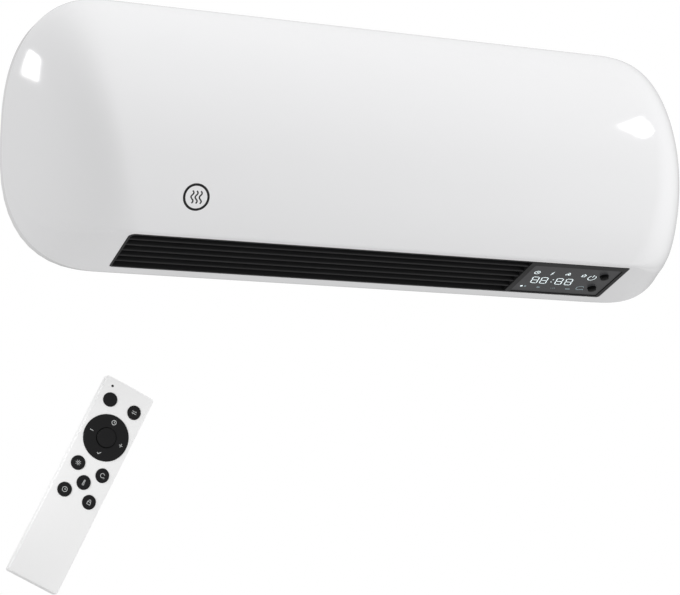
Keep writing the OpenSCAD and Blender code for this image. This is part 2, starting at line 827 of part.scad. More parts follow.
module intake_filter() {
    color(grey) translate([0, 0, filter_z]) linear_extrude(filter_t) difference() {
        translate([-filter_w / 2, -filter_d1 + fit]) square([filter_w, filter_d1 - filter_d0 - fit]);
        translate([-filter_w / 2 + filter_rim, -filter_d1 + fit + filter_rim]) difference() {
            square([filter_w - 2 * filter_rim, filter_d1 - filter_d0 - fit - 2 * filter_rim]);
            for (x = [mesh_pitch:mesh_pitch:filter_w - 2 * filter_rim - mesh_bar])
                translate([x, -over]) square([mesh_bar, filter_d1]);
            for (y = [mesh_pitch:mesh_pitch:filter_d1 - filter_d0 - 2 * filter_rim - mesh_bar])
                translate([-over, y]) square([filter_w, mesh_bar]);
        }
    }
}

// ---- Heater: control panel ----
module control_fascia() {
    color(grey) on_underside() difference() {
        translate([0, 0, fascia_inset]) linear_extrude(fascia_t)
            rounded([pocket_x0 + fit, pocket_v0 + fit], [pocket_x1 - fit, louvre_v1 - fit], fascia_r);
        for (v = button_v) translate([button_x, v, -over])
            cylinder(h = 2 * over + fascia_back, r = button_r + fit);
    }
}

module light_box() {
    icon_w = (box_x1 - box_x0 - (icon_n + 1) * box_wall) / icon_n;
    color(black) on_underside() difference() {
        block([box_x0, box_v0, fascia_back + fit], [box_x1, box_v1, board_n]);
        block([box_mid[0] - digits_w / 2, box_mid[1] - digits_h / 2, 0],
            [box_mid[0] + digits_w / 2, box_mid[1] + digits_h / 2, board_n + over]);
        for (v = [box_mid[1] - digits_h / 2 - icon_gap - icon_h, box_mid[1] + digits_h / 2 + icon_gap])
            for (i = [0:icon_n - 1]) let (x = box_x0 + box_wall + i * (icon_w + box_wall))
                block([x, v, 0], [x + icon_w, v + icon_h, board_n + over]);
    }
}

module led_display() {
    color([0.15, 0.15, 0.16]) on_underside()
        block([box_mid[0] - digits_w / 2 + fit, box_mid[1] - digits_h / 2 + fit, fascia_back + digits_set],
            [box_mid[0] + digits_w / 2 - fit, box_mid[1] + digits_h / 2 - fit, board_n]);
}

module display_board() {
    color(green) on_underside()
        block([pocket_x0 + fit, louvre_v0, board_n], [pocket_x1 - fit, louvre_v1, board_n + board_t]);
}

module tact_switches() {
    color(black) on_underside() for (v = button_v) {
        block([button_x - switch_w / 2, v - switch_w / 2, switch_top + plunger_l],
            [button_x + switch_w / 2, v + switch_w / 2, board_n]);
        translate([button_x, v, switch_top]) cylinder(h = plunger_l + eps, r = plunger_r);
    }
}

module ir_receiver() {
    x = button_x;
    v = (button_v[0] + button_v[1]) / 2;
    color(black) on_underside() {
        block([x - receiver_w / 2, v - receiver_h / 2, board_n - receiver_t],
            [x + receiver_w / 2, v + receiver_h / 2, board_n]);
        translate([x, v, board_n - receiver_t - lens_t]) cylinder(h = lens_t + eps, r = lens_r);
    }
}

module button(v) {
    face = fascia_inset - button_proud;
    seat = fascia_back + fit;
    color(black) on_underside() translate([button_x, v, 0]) intersection() {
        union() {
            translate([0, 0, face]) cylinder(h = seat + cap_lip_t + stem_l - face, r = button_r);
            translate([0, 0, seat]) cylinder(h = cap_lip_t, r = button_r + cap_lip);
        }
        translate([0, 0, face + dome_r]) sphere(r = dome_r);
    }
}
module power_button() { button(button_v[0]); }
module mode_button() { button(button_v[1]); }

// ---- Heater: power electronics ----
module power_board() {
    color(green) difference() {
        block([pcb_x0, -pcb_d - board_t, pcb_z0], [pcb_x1, -pcb_d, pcb_z1]);
        for (p = pcb_posts) wall_rod(p[0], p[1], pcb_d - over, pcb_d + board_t + over, screw_r + hole_play);
    }
}
module on_board(at, size) {
    block([pcb_x0 + at[0], -pcb_d - board_t - size[2], pcb_z0 + at[1]],
        [pcb_x0 + at[0] + size[0], -pcb_d - board_t, pcb_z0 + at[1] + size[1]]);
}
module board_parts() {
    d = pcb_d + board_t;
    color("gold") on_board(coil_at, coil_size);
    color(grey) on_board(film_at, film_size);
    color(steel) wall_rod(pcb_x0 + can_at[0], pcb_z0 + can_at[1], d, d + can_h, can_r);
    color(grey) on_board(chip_at, chip_size);
}
module relays() {
    color([0.1, 0.2, 0.45]) for (at = relay_at) on_board(at, relay_size);
}
module terminal_block() {
    step = block_size[0] / clamp_n;
    face = pcb_d + board_t + block_size[2];
    color([0.1, 0.35, 0.15]) difference() {
        on_board(block_at, block_size);
        for (i = [0:clamp_n - 1]) wall_rod(pcb_x0 + block_at[0] + (i + 0.5) * step,
            pcb_z0 + block_at[1] + block_size[1] / 2, face - clamp_hole_l, face + over, clamp_hole_r);
    }
}
module cord_gland() {
    color(black) difference() {
        union() {
            wall_rod(inlet_x, inlet_z, bay_d, back_wall_d + gland_in, gland_r - press);
            wall_rod(inlet_x, inlet_z, bay_d - gland_flange_t, bay_d, gland_flange_r);
            wall_rod(inlet_x, inlet_z, back_wall_d, back_wall_d + gland_flange_t, gland_flange_r - 1);
        }
        wall_rod(inlet_x, inlet_z, 0, back_wall_d + gland_in + over, cord_r);
    }
}
module cord_clamp() {
    d = back_wall_d + clamp_post_h;
    color(white) difference() {
        block([inlet_x - clamp_span / 2 - clamp_w / 2, -d - clamp_t, clamp_z - clamp_w / 2],
            [inlet_x + clamp_span / 2 + clamp_w / 2, -d, clamp_z + clamp_w / 2]);
        for (p = clamp_posts) wall_rod(p[0], p[1], d - over, d + clamp_t + over, screw_r + hole_play);
        translate([inlet_x, -d + clamp_bite, clamp_z - clamp_w]) cylinder(h = 2 * clamp_w, r = cord_r);
    }
}

// ---- Heater: air duct and fan ----
function scroll_wall(w) = [for (i = [0:scroll_steps]) let (t = i / scroll_steps,
    a = lerp(scroll_from, scroll_to, t), r = scroll_radius(t) + w)
    yz(rotor_d + r * cos(a), rotor_z + r * sin(a))];
function backwards(list) = [for (i = [len(list) - 1:-1:0]) list[i]];
module fan_scroll() {
    v = louvre_v1;
    color(grey) along_x(duct_x0, duct_x1) polygon(concat(scroll_wall(0),
        [under_point(v, stack_n1 + duct_rise), under_point(v, grille_t + fit),
            under_point(v + duct_t, grille_t + fit), under_point(v + duct_t, stack_n1 + duct_rise)],
        backwards(scroll_wall(duct_t))));
}
module vortex_tongue() {
    r = rotor_r + tongue_gap;
    tip = [rotor_d + r * cos(tongue_turn), rotor_z + r * sin(tongue_turn)];
    v = louvre_v0;
    color(grey) along_x(duct_x0, duct_x1) polygon([under_point(v, grille_t + fit),
        under_point(v, stack_n1 + duct_rise), yz(tip[0], tip[1] - tongue_low),
        yz(tip[0] + tongue_soft, tip[1]), yz(tip[0] + tongue_l / 2, tip[1] + tongue_soft),
        yz(tip[0] + tongue_l, tip[1]), yz(tip[0] + tongue_l, tip[1] - tongue_l),
        under_point(v - duct_t, stack_n1 + duct_rise), under_point(v - duct_t, grille_t + fit)]);
}
module duct_end(x0, x1) {
    side = x0 < 0 ? -1 : 1;
    edge = x0 < 0 ? x0 : x1;
    plate = concat([yz(back_wall_d, side_top)], [for (p = side_front) yz(p[0], p[1])],
        [under_point(louvre_v0 - duct_t, grille_t + fit), under_point(louvre_v1 + duct_t, grille_t + fit),
            yz(back_wall_d, side_foot)]);
    difference() {
        union() {
            along_x(x0, x1) polygon(plate);
            for (z = tab_z) block([min(edge, edge + side * tab_l), -back_wall_d - plate_t, z - tab_w / 2],
                [max(edge, edge + side * tab_l), -back_wall_d, z + tab_w / 2]);
        }
        for (z = tab_z) wall_rod(edge + side * (tab_l - foot_in), z, back_wall_d - over,
            back_wall_d + plate_t + over, screw_r + hole_play);
    }
}
module duct_end_left() {
    color(grey) difference() {
        union() {
            duct_end(duct_x0 - plate_t, duct_x0);
            rod_x(duct_x0 - bush_l, duct_x0, seat_r);
        }
        rod_x(duct_x0 - bush_l - over, duct_x0 + over, rubber_r + run);
    }
}
module duct_end_right() {
    color(grey) difference() {
        duct_end(duct_x1, duct_x1 + plate_t);
        rod_x(duct_x1 - over, duct_x1 + plate_t + over, hub_r + hub_play);
        translate([duct_x1 - over, -cutout_d, cutout_z]) rotate([0, 90, 0])
            cylinder(h = plate_t + 2 * over, r = cutout_r - cutout_rim);
    }
}
module blade() {
    r0 = rotor_r - blade_l - blade_root;
    path = [for (i = [0:blade_steps]) let (t = i / blade_steps, r = r0 + blade_l * t,
        a = blade_lean * t + blade_bow * sin(180 * t)) [r * cos(a), r * sin(a), a]];
    half = blade_t / 2;
    polygon(concat([for (p = path) [p[0] + half * sin(p[2]), p[1] - half * cos(p[2])]],
        [for (i = [blade_steps:-1:0]) let (p = path[i])
            [p[0] - half * sin(p[2]), p[1] + half * cos(p[2])]]));
}
module fan_impeller() {
    l = rotor_x1 - rotor_x0;
    color(black) translate([rotor_x0, -rotor_d, rotor_z]) rotate([0, 90, 0]) difference() {
        union() {
            linear_extrude(l) for (i = [0:blade_n - 1]) rotate(360 * i / blade_n) blade();
            for (i = [0:disc_n - 1]) translate([0, 0, (l - disc_t) * i / (disc_n - 1)])
                linear_extrude(disc_t) difference() {
                    circle(rotor_r);
                    if (i > 0 && i < disc_n - 1) circle(rotor_r - blade_l - disc_rim);
                }
            cylinder(h = hub_l, r = hub_r);
            translate([0, 0, l - hub_l]) cylinder(h = hub_l, r = hub_r);
        }
        translate([0, 0, -over]) cylinder(h = hub_l + over - hub_wall, r = shaft_r + press);
        translate([0, 0, l - hub_l + hub_wall]) cylinder(h = hub_l + over, r = shaft_r + press);
    }
}
module motor_shaft() {
    color(steel) rod_x(rotor_x1 - hub_l + hub_wall + press, shaft_end, shaft_r);
}
module fan_stub() {
    color(steel) rod_x(stub_end, rotor_x0 + hub_l - hub_wall - press, shaft_r);
}
module fan_motor() {
    color(steel) difference() {
        union() {
            rod_x(motor_x0, motor_x1, motor_r);
            rod_x(motor_x0 - nose_l, motor_x1 + nose_l, nose_r);
        }
        rod_x(motor_x0 - nose_l - over, motor_x1 + nose_l + over, shaft_r + run);
        for (a = [0:45:315]) translate([motor_x0 - over, -rotor_d, rotor_z]) rotate([0, 90, 0])
            rotate(a) translate([vent_at, 0, 0]) cylinder(h = vent_r + over, r = vent_r);
    }
}
module motor_sleeve() {
    color(black) difference() {
        rod_x(motor_mid - bracket_w / 2 - over, motor_mid + bracket_w / 2 + over, motor_r + sleeve_t);
        rod_x(motor_x0, motor_x1, motor_r + press);
    }
}
module motor_bracket() {
    r = motor_r + sleeve_t + press;
    color(white) difference() {
        union() {
            rod_x(motor_mid - bracket_w / 2, motor_mid + bracket_w / 2, r + ring_t);
            block([motor_mid - bracket_w / 2, -rotor_d, rotor_z - bracket_half],
                [motor_mid + bracket_w / 2, -back_wall_d, rotor_z + bracket_half]);
            block([motor_mid - bracket_w / 2, -back_wall_d - plate_t, bracket_foot_z[1] - foot_in],
                [motor_mid + bracket_w / 2, -back_wall_d, bracket_foot_z[0] + foot_in]);
        }
        rod_x(motor_mid - bracket_w, motor_mid + bracket_w, r);
        for (z = bracket_foot_z) wall_rod(motor_mid, z, back_wall_d - over,
            back_wall_d + plate_t + over, screw_r + hole_play);
    }
}
module bearing_bush() {
    color(copper) difference() {
        rod_x(duct_x0 - bush_l, duct_x0, bush_r);
        rod_x(duct_x0 - bush_l - over, duct_x0 + over, shaft_r + run);
    }
}
module bearing_rubber() {
    color(black) difference() {
        rod_x(duct_x0 - bush_l, duct_x0, rubber_r);
        rod_x(duct_x0 - bush_l - over, duct_x0 + over, bush_r + run);
    }
}

// ---- Heater: heating element ----
module fin_row(v0) {
    n = floor((fin_x1 - fin_x0) / fin_pitch);
    low = v0 + rail_t / 2;
    high = v0 + fin_h - rail_t / 2;
    for (v = [v0, v0 + fin_h - rail_t]) block([stack_x0, v, stack_n0], [stack_x1, v + rail_t, stack_n1]);
    translate([0, 0, stack_n0]) linear_extrude(element_t) for (i = [0:2 * n - 1]) {
        x = fin_x0 + i * fin_pitch / 2;
        a = i % 2 == 0 ? low : high;
        b = i % 2 == 0 ? high : low;
        polygon([[x, a], [x + foil_t, a], [x + fin_pitch / 2 + foil_t, b], [x + fin_pitch / 2, b]]);
    }
}
module ptc_fins() {
    color(steel) on_underside() for (i = [0:2]) fin_row(stack_v0 + i * (fin_h + bar_t));
}
module ptc_bars() {
    color([0.55, 0.56, 0.58]) on_underside() for (i = [0:1]) {
        v = stack_v0 + fin_h + i * (fin_h + bar_t);
        block([stack_x0 - bar_out, v, stack_n0 + bar_in],
            [stack_x1 + bar_out, v + bar_t, stack_n1 - bar_in]);
    }
}
module ptc_brackets() {
    gap = grip_gap;
    color(black) on_underside() difference() {
        for (x = [[duct_x0, duct_x0 + grip_l], [duct_x1 - grip_l, duct_x1]])
            block([x[0], stack_v0 - grip_t, stack_n0 - grip_t],
                [x[1], stack_v0 + stack_l + grip_t, stack_n1 + grip_t]);
        block([stack_x0 - bar_out - gap, stack_v0 - gap, stack_n0 - gap],
            [stack_x1 + bar_out + gap, stack_v0 + stack_l + gap, stack_n1 + gap]);
    }
}
module thermal_cutout() {
    x = duct_x1 + plate_t;
    color(black) translate([x, -cutout_d, cutout_z]) rotate([0, 90, 0])
        cylinder(h = cutout_t, r = cutout_r);
    color(steel) {
        translate([x - plate_t, -cutout_d, cutout_z]) rotate([0, 90, 0])
            cylinder(h = plate_t, r = cutout_r - cutout_rim - press);
        for (s = [-1, 1]) block([x + cutout_t, -cutout_d + s * tag_at - tag_w / 2, cutout_z - tag_t / 2],
            [x + cutout_t + tag_l, -cutout_d + s * tag_at + tag_w / 2, cutout_z + tag_t / 2]);
    }
}
module thermal_fuse() {
    color(steel) on_underside()
        translate([duct_x1 - grip_l, stack_v0 + stack_l / 2, stack_n1 + grip_t + fuse_r])
        rotate([0, 90, 0]) cylinder(h = grip_l - over, r = fuse_r);
}

// ---- Heater: fasteners and wiring ----
module cover_screws() {
    color(steel) for (p = cover_boss) translate([p[0], -bay_d, p[1]]) rotate([90, 0, 0]) screw(screw_l);
}
module inner_screws() {
    tab_x = [duct_x0 - plate_t - tab_l + foot_in, duct_x1 + plate_t + tab_l - foot_in];
    tabs = [for (x = tab_x, z = tab_z) [x, z]];
    feet = [for (z = bracket_foot_z) [motor_mid, z]];
    color(steel) {
        for (p = concat(tabs, feet)) translate([p[0], -back_wall_d - plate_t, p[1]])
            rotate([-90, 0, 0]) screw(plate_t - screw_play);
        for (p = pcb_posts) translate([p[0], -pcb_d - board_t, p[1]])
            rotate([-90, 0, 0]) screw(board_screw_l);
        for (p = clamp_posts) translate([p[0], -back_wall_d - clamp_post_h - clamp_t, p[1]])
            rotate([-90, 0, 0]) screw(clamp_screw_l);
    }
}
// A round wire along a path, as one mesh with its rings square to the path.
module wire(path, r) {
    last = len(path) - 1;
    points = [for (i = [0:last]) let (t = unit(path[min(i + 1, last)] - path[max(i - 1, 0)]),
        u = unit(cross(t, wire_up)), v = cross(t, u))
        for (j = [0:wire_sides - 1]) let (a = 360 * j / wire_sides) path[i] + r * (u * cos(a) + v * sin(a))];
    skin = [for (i = [0:last - 1]) for (j = [0:wire_sides - 1])
        let (k = (j + 1) % wire_sides, a = i * wire_sides, b = a + wire_sides)
        for (f = [[a + j, b + k, a + k], [a + j, b + j, b + k]]) f];
    ends = [[for (j = [0:wire_sides - 1]) j], [for (j = [wire_sides - 1:-1:0]) last * wire_sides + j]];
    polyhedron(points, concat(skin, ends), convexity = 4);
}
module wiring() {
    x = duct_x1 + plate_t + cutout_t + tag_l;
    y = -pcb_d - board_t - wire_drop;
    z = pcb_z0 + wire_foot;
    hot = wire_bend[0];
    coil = wire_bend[1];
    color("red") wire([[x, -cutout_d - tag_at, cutout_z], [x + hot[0], -cutout_d - tag_at, cutout_z],
        [pcb_x0 + wire_at[0], y - hot[1], pcb_z0 - hot[2]], [pcb_x0 + wire_at[0], y, z]], wire_r);
    color("black") wire([[motor_x1 + wire_r, -rotor_d - wire_out, rotor_z - coil[2]],
        [motor_x1 + wire_r + coil[0], -rotor_d - wire_out, rotor_z - 2 * coil[2]],
        [pcb_x0 + wire_at[1], y - coil[1], z + coil[2]], [pcb_x0 + wire_at[1], y, z]], wire_r);
}

// ---- Remote ----
module at_remote() {
    translate([remote_x, 0, remote_z]) rotate([0, remote_tilt, 0]) rotate([90, 0, 0]) children();
}
module along_y(y0, y1) {
    translate([0, y1, 0]) rotate([90, 0, 0]) linear_extrude(y1 - y0) children();
}
module arched(inset, low, rise) {
    w = half_rw - inset;
    along_y(-half_rl + inset, half_rl - inset) polygon(concat([[-w, low]],
        [for (i = [0:arch_steps]) let (x = lerp(-w, w, i / arch_steps)) [x, arch(x) + rise]], [[w, low]]));
}
module plan(inset, h) {
    linear_extrude(h)
        rounded([-half_rw + inset, -half_rl + inset], [half_rw - inset, half_rl - inset], corner_r);
}
module tray_slot() {
    block([-tray_w / 2 - tray_gap, -half_rl - over, tray_z0 - tray_gap],
        [tray_w / 2 + tray_gap, -half_rl + remote_t + over, tray_z1 + tray_gap]);
}
module window_slot() {
    block([-window_w / 2, half_rl - remote_t - over, window_z0], [window_w / 2, half_rl + over, window_z1]);
}
module remote_top() {
    color(white) at_remote() difference() {
        intersection() {
            arched(0, split_h, 0);
            plan(0, 2 * remote_mid);
        }
        arched(remote_t, split_h - over, -remote_t);
        for (p = key_places) translate([p[0], p[1], split_h]) cylinder(h = remote_mid, r = key_r + key_gap);
        translate([0, ring_y, split_h]) cylinder(h = remote_mid, r = ring_r + key_gap);
        translate([led_place[0], led_place[1], split_h])
            cylinder(h = remote_mid, r = led_r + press, $fn = 24);
        tray_slot();
        window_slot();
    }
}
module remote_base() {
    side = tray_w / 2 + tray_gap;
    color(white) at_remote() {
        difference() {
            plan(0, split_h);
            translate([0, 0, remote_t]) plan(remote_t, split_h);
            tray_slot();
            window_slot();
        }
        for (s = [-1, 1]) {
            for (y = post_y) translate([s * post_x, y, remote_t - eps])
                cylinder(h = split_h - rboard_t - remote_t + eps, r = post_rr, $fn = 24);
            block([min(s * side, s * (side + rail_wall)), -half_rl + remote_t - eps, remote_t - eps],
                [max(s * side, s * (side + rail_wall)), -half_rl + tray_l, split_h]);
        }
    }
}
module remote_board() {
    color(green) at_remote() block([-half_rw + board_in, board_y0, split_h - rboard_t],
        [half_rw - board_in, board_y1, split_h]);
}
module keypad_mat() {
    color(grey) at_remote() {
        block([-half_rw + board_in, mat_y0, split_h], [half_rw - board_in, board_y1 - 1, split_h + mat_t]);
    }
}
module ir_window() {
    color([0.2, 0.02, 0.05]) at_remote()
        block([-window_w / 2 + press, half_rl - remote_t, window_z0 + press],
            [window_w / 2 - press, half_rl, window_z1 - press]);
}
module remote_led() {
    color(black) at_remote() intersection() {
        translate([led_place[0], led_place[1], split_h + mat_t])
            cylinder(h = remote_mid, r = led_r, $fn = 24);
        arched(0, split_h, 0);
    }
}
module battery_tray() {
    color(white) at_remote() difference() {
        block([-tray_w / 2, -half_rl, tray_z0], [tray_w / 2, -half_rl + tray_l - 1, tray_z1]);
        translate([0, cell_y, tray_z0 + tray_floor]) cylinder(h = tray_z1, r = cell_r + cell_play);
        translate([0, -half_rl - grip_at, tray_z0 - over]) cylinder(h = tray_z1, r = grip_r);
    }
}
module coin_cell() {
    color(steel) at_remote() translate([0, cell_y, tray_z0 + tray_floor + press]) {
        cylinder(h = cell_t - cell_rim[1], r = cell_r);
        cylinder(h = cell_t, r = cell_r - cell_rim[0]);
    }
}
module battery_contacts() {
    z = tray_z1 + tray_gap;
    foot = board_y0 + contact_in;
    color("gold") at_remote() for (x = [-contact_x - contact_w / 2, contact_x - contact_w / 2]) {
        block([x, board_y0 - contact_l, z], [x + contact_w, foot, z + contact_t]);
        block([x, foot - 1, split_h], [x + contact_w, foot, z + contact_t]);
    }
}
module key(p) {
    color(black) at_remote() {
        intersection() {
            translate([p[0], p[1], key_low]) cylinder(h = remote_mid, r = key_r);
            arched(0, split_h, key_proud);
        }
        translate([p[0], p[1], key_low]) cylinder(h = lip_t, r = key_r + lip_w);
    }
}
module key_power() { key(key_places[0]); }
module key_mode() { key(key_places[1]); }
module key_day() { key(key_places[2]); }
module key_auto() { key(key_places[3]); }
module key_temp() { key(key_places[4]); }
module key_delay() { key(key_places[5]); }
module key_lock() { key(key_places[6]); }
module ring_key() {
    color(black) at_remote() difference() {
        intersection() {
            translate([0, ring_y, key_low]) cylinder(h = remote_mid, r = ring_r);
            arched(0, split_h, key_proud);
        }
        translate([0, ring_y, key_low - over]) cylinder(h = 2 * remote_mid, r = centre_r + key_gap);
    }
}
module centre_key() {
    color(black) at_remote() intersection() {
        translate([0, ring_y, key_low]) cylinder(h = remote_mid, r = centre_r);
        arched(0, split_h, key_proud + centre_proud);
    }
}

front_cover();
rear_housing();
wall_bracket();
wall_pads();
outlet_grille();
intake_grille();
intake_filter();
control_fascia();
light_box();
led_display();
display_board();
tact_switches();
ir_receiver();
power_button();
mode_button();
power_board();
board_parts();
relays();
terminal_block();
cord_gland();
cord_clamp();
fan_scroll();
vortex_tongue();
duct_end_left();
duct_end_right();
fan_impeller();
motor_shaft();
fan_stub();
fan_motor();
motor_sleeve();
motor_bracket();
bearing_bush();
bearing_rubber();
ptc_fins();
ptc_bars();
ptc_brackets();
thermal_cutout();
thermal_fuse();
cover_screws();
inner_screws();
wiring();
remote_top();
remote_base();
remote_board();
keypad_mat();
ir_window();
remote_led();
battery_tray();
coin_cell();
battery_contacts();
key_power();
key_mode();
key_day();
key_auto();
key_temp();
key_delay();
key_lock();
ring_key();
centre_key();
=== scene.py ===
"""Bathroom wall fan heater with its hand remote: fine surfaces, finishes, light and camera.

The pieces' sizes are in millimetres until a mesh is written, when they become metres. The camera
and the lamps stand in metres. +Z is up, the front faces -Y and the wall is the plane Y = 0.
"""

import json
import logging
import math
from dataclasses import dataclass, field
from enum import Enum, auto
from typing import Iterable, Sequence

import bmesh
import bpy
import numpy as np
from mathutils import Matrix, Vector


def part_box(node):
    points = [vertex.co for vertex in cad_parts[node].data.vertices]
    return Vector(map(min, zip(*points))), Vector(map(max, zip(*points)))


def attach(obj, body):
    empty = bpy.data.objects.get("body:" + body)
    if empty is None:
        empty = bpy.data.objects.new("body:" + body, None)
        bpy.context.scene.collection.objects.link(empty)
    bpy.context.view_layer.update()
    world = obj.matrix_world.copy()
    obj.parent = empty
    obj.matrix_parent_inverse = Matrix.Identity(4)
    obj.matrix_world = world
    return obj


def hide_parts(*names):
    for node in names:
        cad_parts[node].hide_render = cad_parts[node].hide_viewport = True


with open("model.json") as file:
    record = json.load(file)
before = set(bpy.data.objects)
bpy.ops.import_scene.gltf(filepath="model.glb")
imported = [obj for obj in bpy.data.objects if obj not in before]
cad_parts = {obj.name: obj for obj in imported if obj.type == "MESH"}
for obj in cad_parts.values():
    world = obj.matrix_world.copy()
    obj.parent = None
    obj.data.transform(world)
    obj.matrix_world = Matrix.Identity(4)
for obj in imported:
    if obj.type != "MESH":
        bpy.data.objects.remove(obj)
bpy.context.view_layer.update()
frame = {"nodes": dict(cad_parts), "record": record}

LOG = logging.getLogger("heater")
MM = 0.001
PICTURE_WIDTH = 680
PICTURE_HEIGHT = 595
QUARTER = math.pi / 2
# Distance in metres within which points are merged, and the shortest length that is divided by.
WELD = 2e-6
TINY = 1e-6
# Radius of a round top's closed middle, and the longest step along a printed line.
POLE = 1e-4
PRINT_STEP = 0.5
# Turns in degrees above which an edge is bevelled, and above which it stays sharp in the shading.
BEVEL_ANGLE = 30.0
SHARP_ANGLE = 35.0

Pair = tuple[float, float]
Triple = tuple[float, float, float]
Rect = tuple[float, float, float, float]
# A stroke is a path and whether it closes. A solid is its points and the point numbers of its faces.
Stroke = tuple[np.ndarray, bool]
Solid = tuple[np.ndarray, Iterable[Sequence[int]]]
Piece = bpy.types.Object
Socket = bpy.types.NodeSocket
# What a node's inputs are given: another node's output or a plain value, by the input's name or number.
Values = dict[str | int, object]


@dataclass(frozen=True)
class Seat:
    """A flat local frame: two directions in its plane and one square to it.

    Attributes:
        origin: The place of its zero point.
        across: Direction of the first coordinate.
        along: Direction of the second coordinate.
        inward: Direction of the third coordinate.
    """

    origin: Triple
    across: Triple
    along: Triple
    inward: Triple

    def place(self, points: np.ndarray) -> np.ndarray:
        """Turns local points into the object's frame: origin + a*across + b*along + c*inward."""
        axes = np.array([self.across, self.along, self.inward])
        return np.array(self.origin) + np.asarray(points, float) @ axes


# Local frames of (x, height, depth from the wall) and of (x, depth from the wall, height).
WALL = Seat((0, 0, 0), (1, 0, 0), (0, 0, 1), (0, -1, 0))
LEVEL = Seat((0, 0, 0), (1, 0, 0), (0, -1, 0), (0, 0, 1))


# ---- Flat curves and outlines ----


def unit(ways: np.ndarray) -> np.ndarray:
    """Directions of length one: each row over its length."""
    return ways / np.maximum(np.linalg.norm(ways, axis=-1, keepdims=True), TINY)


def cross(first: np.ndarray, second: np.ndarray) -> float:
    """The flat cross product of two directions: a0*b1 - a1*b0."""
    return first[0] * second[1] - first[1] * second[0]


def parabola(start: Sequence[float], control: Sequence[float], end: Sequence[float],
             t: np.ndarray) -> np.ndarray:
    """Points of a parabola: (1-t)^2 * start + 2t(1-t) * control + t^2 * end."""
    first, middle, last = (np.asarray(point, float) for point in (start, control, end))
    return (1 - t)**2 * first + 2 * t * (1 - t) * middle + t**2 * last


def around(steps: int) -> np.ndarray:
    """Equal angles round a circle."""
    return np.linspace(0, 2 * math.pi, steps, endpoint=False)


def arc(x: float, y: float, radius: float, start: float, end: float, steps: int = 24) -> np.ndarray:
    """Points of an arc between two angles in degrees."""
    a = np.radians(np.linspace(start, end, steps))
    return np.column_stack((x + radius * np.cos(a), y + radius * np.sin(a)))


def line(*points: Pair) -> np.ndarray:
    """Points of a bent line."""
    return np.array(points, float)


def wave(x: float, low: float, high: float, swing: float) -> np.ndarray:
    """An upright wavy line: a sine of one turn and a half."""
    t = np.linspace(0, 1, 18)
    return np.column_stack((x + swing * np.sin(3 * math.pi * t), low + (high - low) * t))


def disc_outline(x: float, y: float, radius: float, steps: int = 64) -> np.ndarray:
    """A circle's outline: the centre plus the radius at equal angles."""
    a = around(steps)
    return np.column_stack((x + radius * np.cos(a), y + radius * np.sin(a)))


def rounded_outline(rect: Rect, radius: float, steps: int = 8, front: Pair | None = None,
                    inset: float = 0.0) -> np.ndarray:
    """A rectangle's outline with quarter circles at its corners, anticlockwise.

    Args:
        rect: Its lowest corner and its highest corner.
        radius: Radius of its corners.
        steps: Points on each corner.
        front: Radii of the left and right corners at the low second coordinate, where they differ.
        inset: Distance that each side is moved inwards.

    Returns:
        Rows of two coordinates.
    """
    x0, y0, x1, y1 = rect[0] + inset, rect[1] + inset, rect[2] - inset, rect[3] - inset
    left, right = front or (radius, radius)
    return np.vstack((arc(x1 - radius, y1 - radius, radius, 0, 90, steps),
                      arc(x0 + radius, y1 - radius, radius, 90, 180, steps),
                      arc(x0 + left, y0 + left, left, 180, 270, steps),
                      arc(x1 - right, y0 + right, right, 270, 360, steps)))


def even_outline(half: np.ndarray, radius: float, bend: int = 7, ends: int = 24,
                 sides: int = 40) -> np.ndarray:
    """A rounded rectangle about zero whose number of points doesn't change with its size.

    Args:
        half: Half its width and half its length.
        radius: Radius of its corners.
        bend: Points on each corner.
        ends: Steps along each short side.
        sides: Steps along each long side.

    Returns:
        Rows of (x, y), anticlockwise.
    """
    x, y = half - radius
    bends = [arc(cx, cy, radius, start, start + 90, bend)
             for cx, cy, start in ((x, y, 0), (-x, y, 90), (-x, -y, 180), (x, -y, 270))]
    parts = []
    for here, after, count in zip(bends, bends[1:] + bends[:1], (ends, sides, ends, sides)):
        parts += [here, here[-1] + np.linspace(0, 1, count + 1)[1:-1, None] * (after[0] - here[-1])]
    return np.vstack(parts)


def resample(path: np.ndarray, closed: bool, step: float) -> np.ndarray:
    """Places points along a bent line at nearly equal steps, and keeps its corners.

    Args:
        path: Rows of (across, along).
        closed: Whether the path returns to its first point.
        step: Longest distance between two points.

    Returns:
        The denser path.
    """
    ring = np.vstack((path, path[:1])) if closed else path
    legs = np.linalg.norm(np.diff(ring, axis=0), axis=1)
    counts = np.maximum(np.ceil(legs / step).astype(int), 1)
    pieces = [start + np.linspace(0, 1, count, endpoint=False)[:, None] * (end - start)
              for start, end, count in zip(ring[:-1], ring[1:], counts)]
    return np.vstack(pieces if closed else pieces + [ring[-1:]])


# ---- Meshes ----


def grid_faces(rows: int, columns: int, wrap_rows: bool, wrap_columns: bool) -> np.ndarray:
    """Quads of a grid of points numbered row by row.

    Args:
        rows: Number of rows.
        columns: Number of columns.
        wrap_rows: Whether the last row joins the first.
        wrap_columns: Whether the last column joins the first.

    Returns:
        One row of four point numbers for each quad.
    """
    i = np.arange(rows if wrap_rows else rows - 1)[:, None]
    j = np.arange(columns if wrap_columns else columns - 1)[None, :]
    here, after = i * columns, (i + 1) % rows * columns
    beside = (j + 1) % columns
    return np.stack((here + j, here + beside, after + beside, after + j), -1).reshape(-1, 4)


def capped_faces(rows: int, columns: int) -> list[Sequence[int]]:
    """Quads of a grid whose rows close on themselves, and one face on its first and last row."""
    last = (rows - 1) * columns
    return [*grid_faces(rows, columns, False, True), range(columns), range(last, last + columns)]


